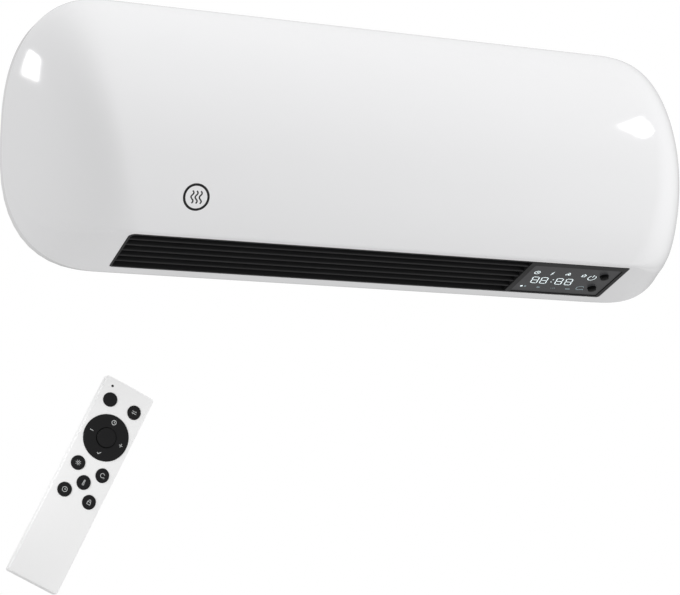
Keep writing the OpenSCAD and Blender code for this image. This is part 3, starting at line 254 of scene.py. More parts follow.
def to_object(name: str, points: np.ndarray, faces: Iterable[Sequence[int]]) -> Piece:
    """Writes points and faces into a new object at the origin, with doubled points merged.

    Args:
        name: The object's name.
        points: Rows of (x, y, z) in millimetres.
        faces: Point numbers of each face.

    Returns:
        The new object, with its faces turned outwards.
    """
    mesh = bpy.data.meshes.new(name)
    metres = np.asarray(points, float).reshape(-1, 3) * MM
    mesh.from_pydata(metres.tolist(), [], [list(map(int, face)) for face in faces])
    work = bmesh.new()
    work.from_mesh(mesh)
    bmesh.ops.remove_doubles(work, verts=work.verts, dist=WELD)
    bmesh.ops.recalc_face_normals(work, faces=work.faces)
    work.to_mesh(mesh)
    work.free()
    mesh.polygons.foreach_set("use_smooth", np.ones(len(mesh.polygons), bool))
    mesh.update()
    obj = bpy.data.objects.new(name, mesh)
    bpy.context.scene.collection.objects.link(obj)
    return obj


def join_solids(name: str, solids: Sequence[Solid]) -> Piece:
    """Writes several closed solids into one object, each with its point numbers moved on.

    Args:
        name: The object's name.
        solids: The solids' points in millimetres and their faces.

    Returns:
        The new object.
    """
    starts = np.cumsum([0] + [len(points) for points, _ in solids[:-1]])
    faces = [[number + start for number in face]
             for (_, part), start in zip(solids, starts) for face in part]
    return to_object(name, np.vstack([points for points, _ in solids]), faces)


def carve(obj: Piece, cutters: Sequence[Piece]) -> Piece:
    """Takes the cutters out of an object's mesh and deletes them.

    Args:
        obj: The object to cut.
        cutters: Closed objects.

    Returns:
        The same object, with its new mesh.
    """
    for cutter in cutters:
        step = obj.modifiers.new(cutter.name, "BOOLEAN")
        step.operation = "DIFFERENCE"
        step.solver = "EXACT"
        step.object = cutter
    bpy.context.view_layer.update()
    graph = bpy.context.evaluated_depsgraph_get()
    done = bpy.data.meshes.new_from_object(obj.evaluated_get(graph))
    obj.modifiers.clear()
    used = [obj.data, *[cutter.data for cutter in cutters]]
    obj.data = done
    for cutter in cutters:
        bpy.data.objects.remove(cutter)
    for mesh in used:
        bpy.data.meshes.remove(mesh)
    return obj


def soften(obj: Piece, width: float, segments: int = 2) -> Piece:
    """Rounds an object's sharp edges with a live bevel.

    Args:
        obj: The object.
        width: Width of the bevel in millimetres.
        segments: Steps of the rounding.

    Returns:
        The same object.
    """
    bevel = obj.modifiers.new("soft_edges", "BEVEL")
    bevel.width = width * MM
    bevel.segments = segments
    bevel.limit_method = "ANGLE"
    bevel.angle_limit = math.radians(BEVEL_ANGLE)
    bevel.harden_normals = True
    bevel.use_clamp_overlap = True
    return obj


def sharp_above(obj: Piece, degrees: float = SHARP_ANGLE) -> Piece:
    """Marks the edges that turn by more than an angle as sharp, so that flats stay flat."""
    obj.data.set_sharp_from_angle(angle=math.radians(degrees))
    return obj


def swept(seat: Seat, outline: np.ndarray, low: float, high: float, axis: int = 2) -> Solid:
    """A closed solid between two copies of an outline.

    Args:
        seat: The local frame.
        outline: Rows of the other two local coordinates.
        low: Place of the first copy along the axis.
        high: Place of the second copy along the axis.
        axis: Number of the local coordinate that the outline is carried along.

    Returns:
        The solid, in the object's frame.
    """
    rings = [np.insert(np.asarray(outline, float), axis, place, axis=1) for place in (low, high)]
    return seat.place(np.vstack(rings)), capped_faces(2, len(outline))


def prism(name: str, seat: Seat, outline: np.ndarray, low: float, high: float) -> Piece:
    """An object that stands square on an outline, between two values of the third coordinate."""
    return to_object(name, *swept(seat, outline, low, high))


def turned(name: str, seat: Seat, centre: Pair, profile: np.ndarray, steps: int = 72) -> Piece:
    """A closed solid of revolution about a line square to a seat.

    Args:
        name: The object's name.
        seat: The local frame.
        centre: First and second coordinate of the line.
        profile: Rows of (radius, third coordinate), with both ends on the line.
        steps: Number of copies round the line.

    Returns:
        The new object.
    """
    a = around(steps)[:, None]
    radius, height = profile[None, :, 0], profile[None, :, 1]
    local = np.broadcast_arrays(centre[0] + radius * np.cos(a), centre[1] + radius * np.sin(a), height)
    return to_object(name, seat.place(np.stack(local, -1)), grid_faces(steps, len(profile), True, False))


def ribbon(path: np.ndarray, closed: bool, width: float, outer: float, inner: float) -> Solid:
    """A flat printed line along a path, as a closed box section.

    Each point is moved both ways along the path's normal by half the width, with the normal of a
    corner lengthened so that the line keeps its width.

    Args:
        path: Rows of (across, along).
        closed: Whether the path returns to its first point.
        width: Width of the line.
        outer: Third coordinate of its outer face.
        inner: Third coordinate of its inner face.

    Returns:
        The line as a solid in local coordinates.
    """
    ahead = np.roll(path, -1, 0) - path
    behind = path - np.roll(path, 1, 0)
    if not closed:
        ahead[-1], behind[0] = behind[-1], ahead[0]
    ahead = unit(ahead)
    tangent = unit(ahead + unit(behind))
    normal = np.column_stack((-tangent[:, 1], tangent[:, 0]))
    reach = width / 2 / np.clip(np.sum(tangent * ahead, 1), 0.5, 1)[:, None]
    left, right = path + normal * reach, path - normal * reach
    edges = ((left, outer), (right, outer), (right, inner), (left, inner))
    points = np.stack([np.insert(side, 2, level, axis=1) for side, level in edges], 1).reshape(-1, 3)
    quads = grid_faces(len(path), 4, closed, True)
    if not closed:
        last = 4 * (len(path) - 1)
        quads = np.vstack((quads, [[0, 1, 2, 3], [last, last + 3, last + 2, last + 1]]))
    return points, quads


# ---- Printed signs ----


class Icon(Enum):
    """The plain signs drawn on the panel and the remote."""

    POWER = auto()
    TIMER = auto()
    BOLT = auto()
    FAN = auto()
    HOUSE = auto()
    SUN = auto()
    LOOP = auto()
    WARMTH = auto()
    LOCK = auto()
    HEAT = auto()
    PLUS = auto()
    MINUS = auto()
    TICK = auto()
    BARS = auto()
    SWAP = auto()


def polar(radius: float, degrees: float) -> Pair:
    """The point at a distance and an angle from zero."""
    return radius * math.cos(math.radians(degrees)), radius * math.sin(math.radians(degrees))


def bent(*points: Pair, closed: bool = False) -> Stroke:
    """A bent line as a stroke."""
    return line(*points), closed


def bow(x: float, y: float, radius: float, start: float, end: float, steps: int = 24) -> Stroke:
    """An open arc as a stroke."""
    return arc(x, y, radius, start, end, steps), False


def ring_of(x: float, y: float, radius: float, steps: int = 32) -> Stroke:
    """A closed circle as a stroke."""
    return arc(x, y, radius, 0, 360, steps + 1)[:-1], True


# The strokes of each sign, in a square from -1 to 1.
DRAWINGS: dict[Icon, list[Stroke]] = {
    Icon.POWER: [bow(0, -0.05, 0.82, 125, 415), bent((0, 0.15), (0, 0.98))],
    Icon.TIMER: [ring_of(0, 0, 0.85), bent((0, 0.5), (0, 0), (0.4, 0))],
    Icon.BOLT: [bent((0.25, 0.95), (-0.3, 0.05), (0.3, 0.05), (-0.25, -0.95))],
    Icon.FAN: [*[bow(*polar(0.48, a), 0.42, a - 170, a + 60) for a in (90, 210, 330)],
               ring_of(0, 0, 0.12)],
    Icon.HOUSE: [bent((-0.8, 0.0), (0, 0.8), (0.8, 0.0)),
                 bent((-0.55, 0.2), (-0.55, -0.8), (0.55, -0.8), (0.55, 0.2))],
    Icon.SUN: [ring_of(0, 0, 0.36), *[bent(polar(0.62, a), polar(0.95, a)) for a in range(0, 360, 45)]],
    Icon.LOOP: [bow(0, 0, 0.75, 30, 330), bent((0.35, -0.75), (0.68, -0.38), (0.98, -0.75))],
    Icon.WARMTH: [bow(0, -0.6, 0.32, 125, 415), bent((-0.18, -0.34), (-0.18, 0.7)),
                  bent((0.18, -0.34), (0.18, 0.7)), bow(0, 0.7, 0.18, 0, 180, 10)],
    Icon.LOCK: [bent((-0.6, 0.1), (0.6, 0.1), (0.6, -0.8), (-0.6, -0.8), closed=True),
                (np.vstack(((-0.38, 0.1), arc(0, 0.45, 0.38, 180, 0, 14), (0.38, 0.1))), False)],
    Icon.HEAT: [(wave(x, -0.75, 0.75, 0.16), False) for x in (-0.55, 0.0, 0.55)],
    Icon.PLUS: [bent((-0.8, 0), (0.8, 0)), bent((0, -0.8), (0, 0.8))],
    Icon.MINUS: [bent((-0.8, 0), (0.8, 0))],
    Icon.TICK: [bent((-0.6, 0.0), (-0.15, -0.5), (0.7, 0.5))],
    Icon.BARS: [bent((x, -0.5), (x, top)) for x, top in ((-0.7, 0.0), (0.0, 0.3), (0.7, 0.6))],
    Icon.SWAP: [bent((side * -0.9, side * 0.3), (side * 0.7, side * 0.3), (side * 0.35, side * 0.65))
                for side in (1, -1)],
}


@dataclass(frozen=True)
class Sign:
    """One sign in a seat's plane.

    Attributes:
        icon: Which sign.
        centre: Its middle.
        half: Half its width and half its height.
    """

    icon: Icon
    centre: Pair
    half: Pair

    def ribbons(self, width: float, levels: Pair, flip: bool = False) -> list[Solid]:
        """Turns the sign's strokes into flat ribbons.

        Args:
            width: Width of the line.
            levels: Third coordinates of the ribbons' outer and inner face.
            flip: Whether the seat's second direction points down the sign.

        Returns:
            One solid for each stroke.
        """
        scale = np.array((self.half[0], -self.half[1] if flip else self.half[1]))
        middle = np.array(self.centre)
        return [ribbon(resample(middle + path * scale, closed, PRINT_STEP), closed, width, *levels)
                for path, closed in DRAWINGS[self.icon]]


# ---- Finishes ----


def tone(red: float, green: float, blue: float) -> Triple:
    """Turns a display colour from 0 to 255 into linear light: the power 2.4 of the standard curve."""
    share = np.array((red, green, blue)) / 255
    linear = np.where(share <= 0.04045, share / 12.92, ((share + 0.055) / 1.055)**2.4)
    return tuple(float(value) for value in linear)


class Surface(Enum):
    """How a surface was made, which picks the pattern in its material."""

    GLOSS = auto()
    MOULDED = auto()
    BRUSHED = auto()
    FOIL = auto()
    SINTERED = auto()
    BOARD = auto()
    LIT = auto()


METALS = (Surface.BRUSHED, Surface.FOIL, Surface.SINTERED)


class NodeTree:
    """A thin helper that adds nodes to a tree and links them in a line or two."""

    def __init__(self, tree: bpy.types.NodeTree) -> None:
        """Keeps the tree that nodes are added to."""
        self.tree = tree

    def fill(self, node: bpy.types.Node, values: Values) -> None:
        """Fills a node's inputs.

        Args:
            node: The node.
            values: What they are filled with.
        """
        for key, value in values.items():
            if isinstance(value, Socket):
                self.tree.links.new(value, node.inputs[key])
            else:
                node.inputs[key].default_value = value

    def add(self, kind: str, values: Values | None = None, **settings: object) -> bpy.types.Node:
        """Adds a node.

        Args:
            kind: The node's type.
            values: What its inputs are filled with.
            **settings: Attributes of the node.

        Returns:
            The new node.
        """
        node = self.tree.nodes.new(kind)
        for key, value in settings.items():
            setattr(node, key, value)
        self.fill(node, values or {})
        return node

    def math(self, operation: str, first: object, second: object) -> Socket:
        """Adds a sum, product or other operation on two numbers and gives its output."""
        return self.add("ShaderNodeMath", {0: first, 1: second}, operation=operation).outputs[0]

    def place(self) -> Socket:
        """The surface's place in its object's own coordinates."""
        return self.add("ShaderNodeTexCoord").outputs["Object"]

    def noise(self, scale: object, detail: float, place: Socket | None = None) -> Socket:
        """Noise between 0 and 1.

        Args:
            scale: Its scale, per metre.
            detail: How many finer noises are laid over it.
            place: Where it is read, if not at the surface's own place.

        Returns:
            The noise's value.
        """
        where = self.place() if place is None else place
        values = {"Vector": where, "Scale": scale, "Detail": detail}
        return self.add("ShaderNodeTexNoise", values).outputs[0]

    def two_scales(self, first: object, second: object, share: float) -> Socket:
        """Mixes two values: share of the first, and the rest of the second."""
        rest = self.math("MULTIPLY", second, 1 - share)
        return self.math("ADD", self.math("MULTIPLY", first, share), rest)

    def sway(self, noise: object, swing: object, middle: object) -> Socket:
        """Moves a value either way: the middle plus four times the swing times the noise less a half."""
        half = self.math("MULTIPLY", self.math("SUBTRACT", noise, 0.5), swing)
        return self.math("ADD", self.math("MULTIPLY", half, 4.0), middle)


class GroupTree(NodeTree):
    """A shader node group with named inputs and outputs."""

    def __init__(self, name: str, inputs: dict[str, object], outputs: dict[str, str]) -> None:
        """Starts the group.

        Args:
            name: The group's name.
            inputs: Each input's first value, which is a colour or a number.
            outputs: The kind of each output, Color or Float.
        """
        super().__init__(bpy.data.node_groups.new(name, "ShaderNodeTree"))
        sockets = self.tree.interface
        for port, first in inputs.items():
            kind = "NodeSocketColor" if isinstance(first, tuple) else "NodeSocketFloat"
            sockets.new_socket(name=port, in_out="INPUT", socket_type=kind).default_value = first
        for port, kind in outputs.items():
            sockets.new_socket(name=port, in_out="OUTPUT", socket_type=f"NodeSocket{kind}")
        self.given = self.add("NodeGroupInput").outputs
        self.result = self.add("NodeGroupOutput")


def build_tone_drift() -> bpy.types.NodeTree:
    """Slow change of tone: the colour times one plus the amount times two scales of noise."""
    kit = GroupTree("tone_drift", {"Color": (0.8, 0.8, 0.8, 1), "Amount": 0.03, "Scale": 12.0},
                    {"Color": "Color"})
    scale = kit.given["Scale"]
    mixed = kit.two_scales(kit.noise(scale, 2.0), kit.noise(kit.math("MULTIPLY", scale, 9.0), 3.0), 0.75)
    factor = kit.sway(mixed, kit.given["Amount"], 1.0)
    scaled = kit.add("ShaderNodeVectorMath", {0: kit.given["Color"], "Scale": factor}, operation="SCALE")
    kit.fill(kit.result, {"Color": scaled.outputs[0]})
    return kit.tree


def build_fine_grain() -> bpy.types.NodeTree:
    """Moulded grain: two scales of noise give the height, and one gives the change of roughness."""
    kit = GroupTree("fine_grain", {"Scale": 900.0, "Roughness": 0.4, "Swing": 0.05},
                    {"Height": "Float", "Roughness": "Float"})
    scale = kit.given["Scale"]
    soft = kit.noise(kit.math("MULTIPLY", scale, 0.06), 2.0)
    kit.fill(kit.result, {"Height": kit.two_scales(kit.noise(scale, 3.0), soft, 0.7),
                          "Roughness": kit.sway(soft, kit.given["Swing"], kit.given["Roughness"])})
    return kit.tree


def build_brushed_lines() -> bpy.types.NodeTree:
    """Rolled metal: noise squeezed along one direction, so that it draws long fine lines."""
    kit = GroupTree("brushed_lines", {"Scale": 60.0, "Roughness": 0.35, "Swing": 0.1},
                    {"Height": "Float", "Roughness": "Float"})
    squeeze = {0: kit.place(), 1: (0.25, 18.0, 18.0)}
    squeezed = kit.add("ShaderNodeVectorMath", squeeze, operation="MULTIPLY")
    lines = kit.noise(kit.given["Scale"], 2.0, squeezed.outputs[0])
    kit.fill(kit.result, {"Height": lines,
                          "Roughness": kit.sway(lines, kit.given["Swing"], kit.given["Roughness"])})
    return kit.tree


def build_settled_dust() -> bpy.types.NodeTree:
    """Pale dust on faces that look up: the normal's height, sharpened, times a patchy noise."""
    kit = GroupTree("settled_dust", {"Color": (0.1, 0.1, 0.1, 1), "Dust": (0.5, 0.49, 0.46, 1),
                                     "Amount": 0.2}, {"Color": "Color"})
    normal = kit.add("ShaderNodeNewGeometry").outputs["Normal"]
    up = kit.add("ShaderNodeSeparateXYZ", {0: normal}).outputs["Z"]
    facing = kit.add("ShaderNodeMapRange", {"Value": up, "From Min": 0.2, "From Max": 1.0}).outputs[0]
    mask = kit.math("MULTIPLY", kit.math("MULTIPLY", facing, kit.noise(90.0, 4.0)), kit.given["Amount"])
    mix = {"Fac": mask, "Color1": kit.given["Color"], "Color2": kit.given["Dust"]}
    blend = kit.add("ShaderNodeMixRGB", mix)
    kit.fill(kit.result, {"Color": blend.outputs[0]})
    return kit.tree


class Groups:
    """The shared node groups, each built once."""

    def __init__(self) -> None:
        """Builds every group."""
        self.drift = build_tone_drift()
        self.grain = build_fine_grain()
        self.lines = build_brushed_lines()
        self.dust = build_settled_dust()


@dataclass(frozen=True)
class Finish:
    """One material slot's look.

    Attributes:
        slot: The record's slot, which is also the material's name.
        colour: Base colour in linear light.
        surface: How the surface was made.
        rough: Mean roughness.
        swing: How far the roughness moves either way.
        specular: The shader's specular level.
        grain: Scale of the pattern, per metre.
        relief: Height of the pattern in millimetres.
        drift: How far the tone moves either way.
        dust: Share of dust on faces that look up.
        coat: Weight of the clear coat.
        glow: Strength of its own light.
        coat_rough: Roughness of the clear coat.
        bump: Strength of the pattern's relief.
    """

    slot: str
    colour: Triple
    surface: Surface = Surface.MOULDED
    rough: float = 0.4
    swing: float = 0.04
    specular: float = 0.5
    grain: float = 900.0
    relief: float = 0.02
    drift: float = 0.03
    dust: float = 0.0
    coat: float = 0.0
    glow: float = 0.0
    coat_rough: float = 0.06
    bump: float = 0.6

    def material(self, groups: Groups) -> bpy.types.Material:
        """Builds the finish's material.

        Args:
            groups: The shared node groups.

        Returns:
            The new material.
        """
        made = bpy.data.materials.new(self.slot)
        made.use_nodes = True
        made.diffuse_color = (*self.colour, 1)
        kit = NodeTree(made.node_tree)
        colour = kit.add("ShaderNodeGroup", {"Color": (*self.colour, 1), "Amount": self.drift},
                         node_tree=groups.drift).outputs["Color"]
        if self.surface is Surface.BOARD:
            colour = self.tracks(kit, colour)
        if self.dust:
            colour = kit.add("ShaderNodeGroup", {"Color": colour, "Amount": self.dust},
                             node_tree=groups.dust).outputs["Color"]
        pattern = groups.lines if self.surface is Surface.BRUSHED else groups.grain
        values = {"Scale": self.grain, "Roughness": self.rough, "Swing": self.swing}
        texture = kit.add("ShaderNodeGroup", values, node_tree=pattern).outputs
        height = texture["Height"]
        if self.surface is Surface.FOIL:
            height = self.creases(kit, height)
        relief = {"Strength": self.bump, "Distance": self.relief * MM, "Height": height}
        inputs = {"Base Color": colour, "Metallic": float(self.surface in METALS),
                  "Roughness": texture["Roughness"], "Specular IOR Level": self.specular,
                  "Coat Weight": self.coat, "Coat Roughness": self.coat_rough,
                  "Normal": kit.add("ShaderNodeBump", relief).outputs[0]}
        if self.glow:
            inputs |= {"Emission Color": colour, "Emission Strength": self.glow}
        kit.fill(made.node_tree.nodes["Principled BSDF"], inputs)
        return made

    def tracks(self, kit: NodeTree, colour: Socket) -> Socket:
        """Adds a circuit board's paler tracks to a colour.

        Args:
            kit: The material's nodes.
            colour: The board's colour.

        Returns:
            The colour with its tracks.
        """
        bricks = kit.add("ShaderNodeTexBrick", {
            "Vector": kit.place(), "Scale": 140.0, "Mortar Size": 0.05, "Mortar": (1, 1, 1, 1),
            "Color1": (0, 0, 0, 1), "Color2": (0.35, 0.35, 0.35, 1)})
        paler = (*[min(1.0, part * 2.1 + 0.02) for part in self.colour], 1)
        share = kit.math("MULTIPLY", bricks.outputs["Color"], 0.5)
        return kit.add("ShaderNodeMixRGB", {"Fac": share, "Color1": colour, "Color2": paler}).outputs[0]

    def creases(self, kit: NodeTree, height: Socket) -> Socket:
        """Adds folded foil's creases to a height: 0.8 times the distance to the nearest of many spots."""
        spots = kit.add("ShaderNodeTexVoronoi", {"Vector": kit.place(), "Scale": 420.0})
        return kit.math("ADD", height, kit.math("MULTIPLY", spots.outputs["Distance"], 0.8))


FINISHES: tuple[Finish, ...] = (
    Finish("cover_white", tone(244, 244, 245), Surface.GLOSS, 0.1, 0.015, grain=140.0, relief=0.012,
           drift=0.006),
    # The rear housing's light grey is darkened so that its thin edge along the left silhouette reads as a
    # dark line: partly the housing's own grey and partly painted shade of that edge.
    Finish("housing_white", tone(204, 204, 202), rough=0.42, relief=0.03, drift=0.02, dust=0.05),
    Finish("grille_black", tone(34, 34, 35), rough=0.5, specular=0.4, relief=0.03, drift=0.06, dust=0.04),
    Finish("panel_black", tone(64, 64, 66), Surface.GLOSS, 0.34, 0.03, specular=0.4, grain=300.0,
           relief=0.006),
    Finish("button_black", tone(15, 15, 16), rough=0.45, specular=0.15, relief=0.015, drift=0.05),
    Finish("inner_black", tone(34, 34, 35), rough=0.6, specular=0.3, relief=0.03, drift=0.08, dust=0.12),
    Finish("duct_grey", tone(96, 97, 99), rough=0.52, relief=0.03, drift=0.05, dust=0.15),
    Finish("filter_grey", tone(70, 71, 73), rough=0.66, grain=1500.0, relief=0.05, drift=0.1, dust=0.3),
    Finish("rubber_black", tone(30, 30, 31), rough=0.75, specular=0.25, relief=0.05, drift=0.08, dust=0.1),
    Finish("rubber_grey", tone(88, 88, 90), rough=0.72, specular=0.3, relief=0.04, drift=0.06),
    Finish("sheet_steel", tone(188, 190, 193), Surface.BRUSHED, 0.34, 0.1, relief=0.01, drift=0.05),
    Finish("shaft_steel", tone(200, 201, 204), Surface.BRUSHED, 0.2, 0.06, relief=0.006),
    Finish("fin_aluminium", tone(205, 207, 210), Surface.FOIL, 0.4, 0.08, relief=0.05, drift=0.06),
    Finish("bronze", tone(176, 132, 82), Surface.SINTERED, 0.46, 0.08, grain=1800.0, relief=0.03,
           drift=0.1),
    Finish("board_green", tone(34, 92, 58), Surface.BOARD, 0.32, 0.05, relief=0.03, drift=0.05, coat=0.3),
    Finish("relay_blue", tone(38, 74, 140), rough=0.36, relief=0.02, drift=0.04),
    Finish("terminal_green", tone(46, 122, 70), rough=0.42, relief=0.02, drift=0.05),
    Finish("inner_white", tone(226, 224, 214), rough=0.5, relief=0.02, drift=0.04),
    Finish("wire_red", tone(158, 40, 34), rough=0.45, relief=0.03, drift=0.06),
    Finish("remote_white", tone(249, 249, 249), rough=0.36, swing=0.03, grain=1100.0, relief=0.018,
           drift=0.008),
    Finish("key_black", tone(22, 22, 23), rough=0.52, specular=0.3, grain=1300.0, relief=0.02, drift=0.06),
    Finish("window_red", tone(52, 12, 16), Surface.GLOSS, 0.12, 0.02, relief=0.004, drift=0.05, coat=0.5),
    Finish("contact_gold", tone(212, 170, 96), Surface.BRUSHED, 0.3, 0.06, relief=0.008, drift=0.04),
    Finish("lamp_white", tone(228, 240, 242), Surface.LIT, 0.5, 0.02, relief=0.004, drift=0.1, glow=0.85),
    Finish("lamp_faint", tone(150, 168, 174), Surface.LIT, 0.5, 0.02, relief=0.004, drift=0.1, glow=0.5),
    Finish("print_grey", tone(196, 198, 198), rough=0.5, relief=0.006, drift=0.06),
    Finish("print_black", tone(24, 24, 25), rough=0.45, relief=0.006, drift=0.06),
)


# ---- The body's form ----


@dataclass(frozen=True)
class CapsuleForm:
    """The rounded body: one section in (depth, height), carried out to two rounded ends.

    The top is flat as far as the crown. The front is a cubic curve from there to the lower edge, the
    underside is a straight line to the rim's foot, and the foot rises a little towards the wall.
    Towards an end the section's height shrinks as a power curve, and so does its depth beyond the rim,
    over a length that grows from top to bottom. The rim gets shallower and the lower front edge rounder.
    """

    half_w: float
    top_z: float
    back_d: float
    # The section
    rim_d: float = 18.0
    crown_d: float = 26.0
    foot_rise: float = 2.0
    edge_d: float = 83.5
    edge_drop: float = 81.7
    crown_pull: float = 17.0
    belly_pull: float = 91.6
    belly_angle: float = math.radians(50.0)
    wall: float = 2.5
    back_soft: float = 0.7
    inner_soft: float = 0.05
    foot_round: float = 1.5
    # The ends: the height's shrinking towards the waist, the rim's, and the depth's beyond the rim
    end_round: float = 76.0
    end_power: float = 2.6
    waist_z: float = -5.0
    tip_d: float = 10.0
    slope_low: float = 86.0
    slope_top: float = 53.0
    slope_mix: float = 0.52
    bend_low: float = 1.8
    bend_top: float = 2.7
    # The lower front edge's rounding, along the outlet and at the tips
    edge_soft: float = 2.0
    edge_tip: float = 40.0
    edge_from: float = 202.5
    # A cut through the top, below and above it
    cut_low: float = 12.0
    cut_high: float = 2.0
    # Points on the section's stretches, and sections across the body
    bend_steps: int = 5
    roof_steps: int = 8
    face_steps: int = 110
    edge_steps: int = 13
    under_steps: int = 20
    rim_steps: int = 6
    table_steps: int = 400
    tangent_step: float = 0.001
    end_steps: int = 72
    flank_w: float = 70.0
    flank_steps: int = 36
    middle_steps: int = 10

    @property
    def end_x(self) -> float:
        """Place across at which the ends begin."""
        return self.half_w - self.end_round

    @property
    def roof_cut(self) -> Pair:
        """Heights of a cut that goes through the top."""
        return self.top_z - self.cut_low, self.top_z + self.cut_high

    @property
    def under_angle(self) -> float:
        """Slope of the underside against the level."""
        return math.atan((self.top_z - self.edge_drop) / (self.edge_d - self.rim_d))

    @property
    def underside(self) -> Seat:
        """The underside's own frame: across, back from the lower edge, and inwards."""
        c, s = math.cos(self.under_angle), math.sin(self.under_angle)
        return Seat((0.0, -self.edge_d, -self.edge_drop), (1, 0, 0), (0, c, -s), (0, s, c))

    @property
    def curve(self) -> np.ndarray:
        """The front curve's four points in (depth, height)."""
        return np.array([
            (self.crown_d, self.top_z),
            (self.crown_d + self.crown_pull, self.top_z),
            (self.edge_d + self.belly_pull * math.cos(self.belly_angle),
             -self.edge_drop + self.belly_pull * math.sin(self.belly_angle)),
            (self.edge_d, -self.edge_drop),
        ])

    def front(self, t: np.ndarray, inset: float = 0.0) -> np.ndarray:
        """Points of the front curve, moved inwards.

        The cubic is the sum of each point times its Bernstein weight, and the inward direction is
        the curve's slope turned by a quarter.

        Args:
            t: Shares of the curve, from 0 at the top to 1 at the lower edge.
            inset: Distance moved inwards.

        Returns:
            One (depth, height) row for each share.
        """
        t = np.asarray(t, float)[:, None]
        p = self.curve
        point = (1 - t)**3 * p[0] + 3 * (1 - t)**2 * t * p[1] + 3 * (1 - t) * t**2 * p[2] + t**3 * p[3]
        slope = 3 * parabola(p[1] - p[0], p[2] - p[1], p[3] - p[2], t)
        return point - inset * unit(np.column_stack((-slope[:, 1], slope[:, 0])))

    def front_table(self, inset: float = 0.0) -> np.ndarray:
        """The front curve from its foot to its top, close enough to read depths and heights from."""
        return self.front(np.linspace(1, 0, self.table_steps), inset)

    def section(self, inset: float, back: float, edge: float) -> np.ndarray:
        """One open section from the back of the top, round the front, to the back of the foot.

        The lower front edge is a parabola. Its middle control point is where the front's tangent
        meets the underside, and its two legs are equally long.

        Args:
            inset: Distance inside the outer skin.
            back: Depth at which the section starts and ends.
            edge: Length of the front curve that the lower edge's rounding takes.

        Returns:
            Rows of (depth, height).
        """
        top, foot = self.top_z - inset, inset - self.top_z
        heel = np.array((back, foot + self.foot_rise * (self.rim_d - back) / (self.rim_d - self.back_d)))
        soft = self.back_soft if inset == 0 else self.inner_soft
        bend = np.linspace(0, 1, self.bend_steps)[:, None]
        lip = parabola((0, -soft), (0, 0), (soft, 0), bend)
        start = lip + (back, top)
        roof = np.linspace(start[-1], (self.crown_d, top), self.roof_steps)[1:-1]
        last = 1 - edge / (3 * self.belly_pull)
        face = self.front(last * np.linspace(0, 1, self.face_steps), inset)
        way = face[-1] - self.front(np.array([last - self.tangent_step]), inset)[0]
        corner = self.front(np.array([1.0]), inset)[0]
        rim_foot = np.array((self.rim_d, foot))
        under = unit(rim_foot - corner)
        control = corner + under * cross(face[-1] - corner, way) / cross(under, way)
        after = control + under * np.linalg.norm(control - face[-1])
        turn = parabola(face[-1], control, after, np.linspace(0, 1, self.edge_steps)[1:, None])
        flat = after + np.linspace(0, 1, self.under_steps)[1:-2, None] * (rim_foot - after)
        rim_end = rim_foot + self.foot_round * unit(heel - rim_foot)
        toe = parabola(rim_foot - under * self.foot_round, rim_foot, rim_end, bend)
        end = lip[::-1] * (1, -1) + heel
        rim = np.linspace(rim_end, end[0], self.rim_steps)[1:-1]
        return np.vstack((start, roof, face, turn, flat, toe, rim, end))

    def end_share(self, x: np.ndarray, inset: float) -> np.ndarray:
        """How far x lies along a rounded end, from 0 where it begins to 1 at the tip."""
        return np.clip((np.abs(x) - self.end_x) / (self.end_round - inset), 0, 1)

    def edge_at(self, x: np.ndarray, inset: float) -> np.ndarray:
        """Rounding length of the lower front edge at x: it grows from the outlet's end by 3t^2 - 2t^3."""
        t = np.clip((np.abs(x) - self.edge_from) / (self.half_w - inset - self.edge_from), 0, 1)
        return self.edge_soft + (self.edge_tip - self.edge_soft) * t * t * (3 - 2 * t)

    def height_keep(self, x: np.ndarray, inset: float) -> np.ndarray:
        """Share of the section's height left at x: (1 - u^q)^(1/q)."""
        return np.power(1 - np.power(self.end_share(x, inset), self.end_power), 1 / self.end_power)

    def rim_at(self, x: np.ndarray, inset: float) -> np.ndarray:
        """Depth of the straight rim at x: it falls to the tip's with the fourth power of x's share."""
        return self.rim_d - (self.rim_d - self.tip_d) * self.end_share(x, inset)**4

    def depth_keep(self, x: np.ndarray, z: np.ndarray, inset: float) -> np.ndarray:
        """Share of the depth beyond the rim that is left: 1 - t^bend, with t from 0 to 1 over the slope.

        Args:
            x: Places across.
            z: Heights on the unshrunk section.
            inset: Distance inside the outer skin.

        Returns:
            The share for each place and height.
        """
        share = np.clip((z + self.edge_drop) / (self.top_z + self.edge_drop), 0, 1)
        length = self.slope_low + (self.slope_top - self.slope_low) * share**self.slope_mix
        begin = self.half_w - length
        t = np.clip((np.abs(x) - begin) / (self.half_w - inset - begin), 0, 1)
        return 1 - np.power(t, self.bend_low + (self.bend_top - self.bend_low) * share)

    def stations(self, inset: float) -> np.ndarray:
        """Places of the sections across the body, closer together where it turns.

        Args:
            inset: Distance inside the outer skin.

        Returns:
            The places from the left tip to the right one.
        """
        near = self.end_x - self.flank_w
        turn = np.sin(np.linspace(0, QUARTER, self.end_steps))**(2 / self.end_power)
        half = np.concatenate((np.linspace(0, near, self.middle_steps)[:-1],
                               np.linspace(near, self.end_x, self.flank_steps)[:-1],
                               self.end_x + (self.end_round - inset) * turn))
        return np.concatenate((-half[:0:-1], half))

